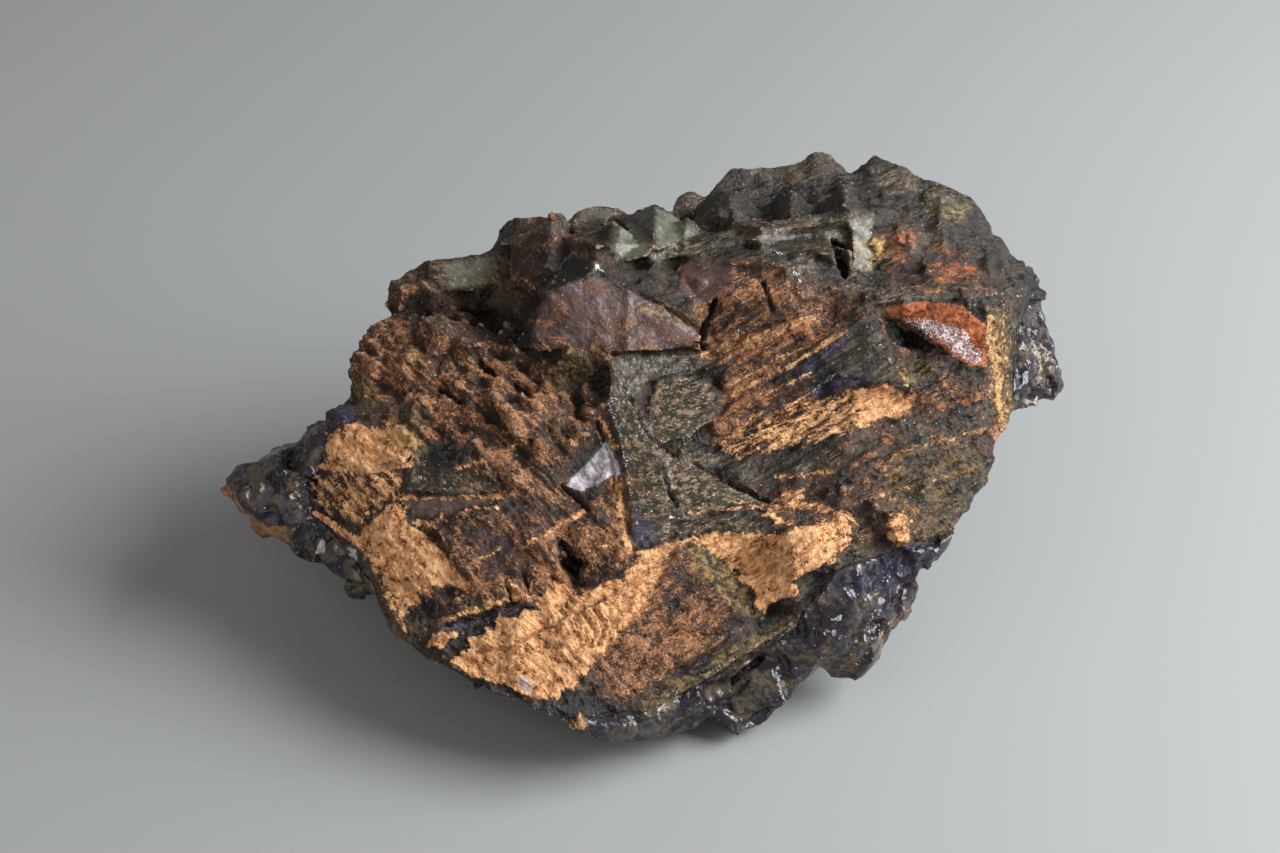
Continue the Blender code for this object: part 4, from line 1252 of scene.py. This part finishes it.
def skin(at):
    """Near black and brown, olive where it is clean, with lilac, violet and black facets, painted light as
    grey on facets turned to the light, and painted shade as black in gaps.
    """
    olive = laid(ranged("olive", at.large), 0.65 * step(at.small, 0.45, 0.85), "olive shade")
    olive = laid(olive, 0.5 * step(0.7 * at.hairs + 0.3 * at.fine, 0.62, 0.78), "olive streak")
    brushed = step(0.12 * at.luck + 0.98 * at.texture, 0.58, 0.74)
    scratched = step(at.hairs, 0.70, 0.82) * step(at.small, 0.35, 0.65)
    olive = laid(olive, larger(0.65 * brushed, 0.8 * scratched), "tan dust", at.second_luck)
    clean = larger(at.calm, step(at.large, 0.68, 0.86))
    colour = mixed(clean, ranged("skin", step(at.medium, 0.35, 0.75)), olive)
    stain = step(0.55 * at.medium + 0.5 * at.texture, 0.48, 0.68)
    colour = mixed(0.9 * at.mauve, colour, laid(ranged("lilac", at.small), 0.7 * stain, "stain on lilac"))
    colour = laid(colour, 0.85 * at.violet, "violet", at.streaks)
    # painted light: grey on facets turned to the light
    colour = laid(colour, 0.85 * step(at.pale, 0.15, 0.4), "grey", at.small)
    # black on dark glossy facets, and painted shade in gaps and on faces turned from the light
    return laid(colour, 0.95 * at.dark, "black")


def ironed(at, colour):
    """A brown film first, then orange grains on it, then pale worn edges; last, painted shade darkens the
    hollows.
    """
    film = 0.50 * at.rust + 0.95 * at.texture + 0.20 * (at.medium - 0.5) + 0.34 * (at.patchwork - 0.5)
    film = film + 0.40 * at.clay - 0.42 * at.calm - 0.50 * at.dark - 0.16 * at.mauve - 0.30 * at.pale
    at.stained = step(film, 0.46, 0.80)
    at.grains = step(film + 0.34 * (at.luck - 0.5) + 0.35 * (at.tall - 0.5), 0.93, 1.06)
    colour = laid(colour, 0.75 * at.stained, "brown film", at.small)
    iron = laid(ranged("iron grains", at.second_luck), 0.5 * at.mauve, "grains on lilac")
    colour = mixed(0.85 * at.grains, colour, iron)
    colour = laid(colour, 0.7 * at.worn, "worn edge", at.luck)
    # painted shade: dark in the hollows
    return laid(colour, 0.85 * step(at.tall, 0.45, 0.14), "painted shade in hollows")


def clayed(at, colour):
    """Clay where it covers the crust: pale on its crumbs, brown in its pits and streaks, with painted shade
    in its corners.
    """
    thickness = at.clay + 1.25 * (at.crumbs - 0.5) - 0.20 * at.calm + 0.24 * (at.luck - 0.5)
    at.smeared = step(thickness, 0.70, 0.78)
    crumb = step(0.18 * at.fine + 0.90 * at.crumbs, 0.32, 0.76)
    clay = laid(ranged("clay", crumb), 0.5 * step(thickness, 0.98, 0.72), "thin clay")
    # painted shade on the clay in concave corners
    clay = laid(clay, 0.4 * at.corner, "painted shade on clay in corners")
    pits, scores = step(0.3 * at.luck + 0.7 * at.small, 0.30, 0.19), step(at.hairs, 0.24, 0.14)
    clay = laid(clay, 0.55 * larger(pits, 0.8 * scores), "clay in pits")
    clay = laid(clay, 0.75 * at.yellow, "yellow clay", crumb)
    colour = laid(colour, 0.7 * at.yellow, "yellow film", step(at.texture, 0.36, 0.68))
    return mixed(at.smeared, colour, clay)


def fluorite(at):
    """Broken fluorite: near black and purple, with greyer and browner zones and pale bruised grains."""
    at.facets, facet_colour = splinters(at.where, GLASS_FACET)
    band = grain(stretched(at.where, BAND_DIRECTION, 3.0), 6.5, 3.0, 0.55)
    zones = step(0.5 * at.large + 0.5 * at.medium, 0.42, 0.62)
    glass = laid(ranged("purple glass", band), 0.85 * zones, "murky glass", part(facet_colour, 2))
    bruised = step(0.16 * at.luck + 0.62 * at.powder + 0.25 * at.fine, 0.62, 0.86)
    glass = laid(glass, 0.55 * bruised, "bruised glass", at.second_luck)
    glass = laid(glass, 0.35 * at.worn, "worn glass")
    glass = laid(glass, 0.6 * step(0.5 * at.powder + 0.5 * at.medium, 0.56, 0.76), "iron on glass")
    joint = Number(cells(at.where, GLASS_FACET, feature="DISTANCE_TO_EDGE")["Distance"])
    glass = laid(glass, 0.8 * step(joint, 0.05, 0.0) * step(at.small, 0.3, 0.6), "seam in glass")
    glass = laid(glass, at.violet * step(at.small, 0.15, 0.55), "violet glass", at.streaks)
    return laid(glass, 0.85 * step(at.amber + 0.4 * at.small, 0.5, 0.9), "amber glass", at.small)


def sparkled(at, colour):
    """Painted glints: white sparkle where it is marked and on a few single grains, and painted highlights on
    pale clean facets.
    """
    # painted glints on marked areas and on a few single grains
    glitter = step(at.frost + 0.42 * at.luck + 0.21 * at.fine, 0.98, 1.12)
    lone = step(at.luck, 0.9955, 0.998) * (1.0 - at.smeared)
    glint_share = larger(glitter, 0.5 * lone)
    # painted highlights: white on pale clean facets
    highlight_share = step(at.pale + 0.3 * at.small, 0.78, 0.98)
    at.glinting = larger(glint_share, highlight_share)
    colour = laid(colour, glint_share, "sparkle", at.second_luck)
    lines = step(at.streaks, 0.62, 0.50) * highlight_share
    return laid(colour, 0.4 * lines + 0.5 * highlight_share, "painted highlight on facets")


def surface_roughness(at):
    rough = blended(step(at.small, 0.3, 0.8), 0.18, 0.38)
    layers = (
        (at.stained, 0.55), (at.grains, 0.80), (at.smeared, 0.97), (at.glow, 0.20),
        (at.broken, blended(at.small, 0.06, 0.22)), (at.glinting, 0.24),
    )
    for share, value in layers:
        rough = blended(share, rough, value)
    return rough


def relief(at):
    """The fine relief, in millimetres, as a turned normal."""
    chips = splinters(at.where, FINE_FACET)[0]
    crust = 0.12 * at.fine + 0.18 * chips + 0.40 * at.texture + 0.12 * at.grains + 0.08 * at.hairs
    crust = crust * (1.0 - 0.85 * larger(at.calm, at.mauve))
    crust = crust + at.smeared * (1.25 * at.crumbs + 0.22 * at.fine)
    glass = 1.8 * at.facets + 0.40 * chips + 0.03 * at.fine
    height = blended(at.broken, crust, glass)
    return node("Bump", {"Height": height, "Distance": MM, "Strength": 1.0})[0]


def stone_material():
    """The stone's material, laid on in turn: skin, iron, clay, orange stain, broken fluorite, painted glints
    and highlights.
    """
    at = readings()
    colour = clayed(at, ironed(at, skin(at)))
    at.glow = step(at.orange + 0.4 * at.small, 0.72, 0.98)
    colour = laid(colour, 0.9 * at.glow, "orange", at.powder)
    at.broken = step(at.glass + 0.30 * at.powder, 0.60, 0.72) * (1.0 - at.smeared)
    colour = sparkled(at, mixed(at.broken, colour, fluorite(at)))
    inputs = stone_look.node_tree.nodes["Principled BSDF"].inputs
    feed(inputs["Base Color"], colour)
    feed(inputs["Roughness"], surface_roughness(at))
    feed(inputs["Normal"], relief(at))
    feed(inputs["IOR"], FLUORITE_IOR)
    return stone_look


# ---------------------------------------------------------------- camera and room, in metres

FLOOR_SIZE, FLOOR_COLOUR, FLOOR_ROUGHNESS = 3.2, (0.262, 0.274, 0.276, 1.0), 0.55
AIM = Vector((0.0, 0.0, 0.03))
# Place, width and height, watts and colour.
LIGHTS = {
    "window": ((0.64, -0.02, 0.44), (0.62, 0.55), 17.0, (0.99, 1.0, 1.0)),
    "room": ((-0.60, -1.0, 0.68), (2.2, 1.5), 10.5, (1.0, 0.95, 0.92)),
}
AIR_COLOUR, AIR_STRENGTH = (0.92, 0.90, 0.88, 1.0), 0.24


def camera():
    data = bpy.data.cameras.new("camera")
    data.lens, data.sensor_width = LENS, SENSOR
    data.clip_start, data.clip_end = 0.01, 20.0
    made = bpy.data.objects.new("camera", data)
    made.location = EYE * MM
    made.rotation_euler = (math.pi / 2 - VIEW_RISE, 0.0, 0.0)
    bpy.context.scene.collection.objects.link(made)
    bpy.context.scene.camera = made


def table_top():
    bm = bmesh.new()
    bmesh.ops.create_grid(bm, x_segments=1, y_segments=1, size=FLOOR_SIZE / 2)
    mesh = bpy.data.meshes.new("floor")
    bm.to_mesh(mesh)
    bm.free()
    floor = bpy.data.objects.new("floor", mesh)
    bpy.context.scene.collection.objects.link(floor)
    material = bpy.data.materials.new("pale_table")
    material.use_nodes = True
    shader = material.node_tree.nodes["Principled BSDF"]
    shader.inputs["Base Color"].default_value = FLOOR_COLOUR
    shader.inputs["Roughness"].default_value = FLOOR_ROUGHNESS
    mesh.materials.append(material)


def light():
    for name, (place, size, power, colour) in LIGHTS.items():
        data = bpy.data.lights.new(name, "AREA")
        data.shape = "RECTANGLE"
        data.size, data.size_y = size
        data.energy = power
        data.color = colour
        made = bpy.data.objects.new(name, data)
        made.location = place
        made.rotation_euler = (AIM - Vector(place)).to_track_quat("-Z", "Y").to_euler()
        bpy.context.scene.collection.objects.link(made)
    world = bpy.data.worlds.new("room")
    world.use_nodes = True
    world.node_tree.nodes["Background"].inputs["Color"].default_value = AIR_COLOUR
    world.node_tree.nodes["Background"].inputs["Strength"].default_value = AIR_STRENGTH
    bpy.context.scene.world = world
    bpy.context.scene.view_settings.view_transform = "Standard"


def main():
    camera()
    table_top()
    light()
    stone = rough_block()
    broken_off(stone)
    fused(stone)
    carved(stone)
    reduce = stone.modifiers.new("reduce", "DECIMATE")
    triangles = sum(len(p.vertices) - 2 for p in stone.data.polygons)
    reduce.ratio = min(1.0, MOST_TRIANGLES / triangles)
    applied(stone)
    marked(stone)
    stone.data.materials.clear()
    stone.data.materials.append(stone_material())
    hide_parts(NODE)
    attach(stone, "root")


main()
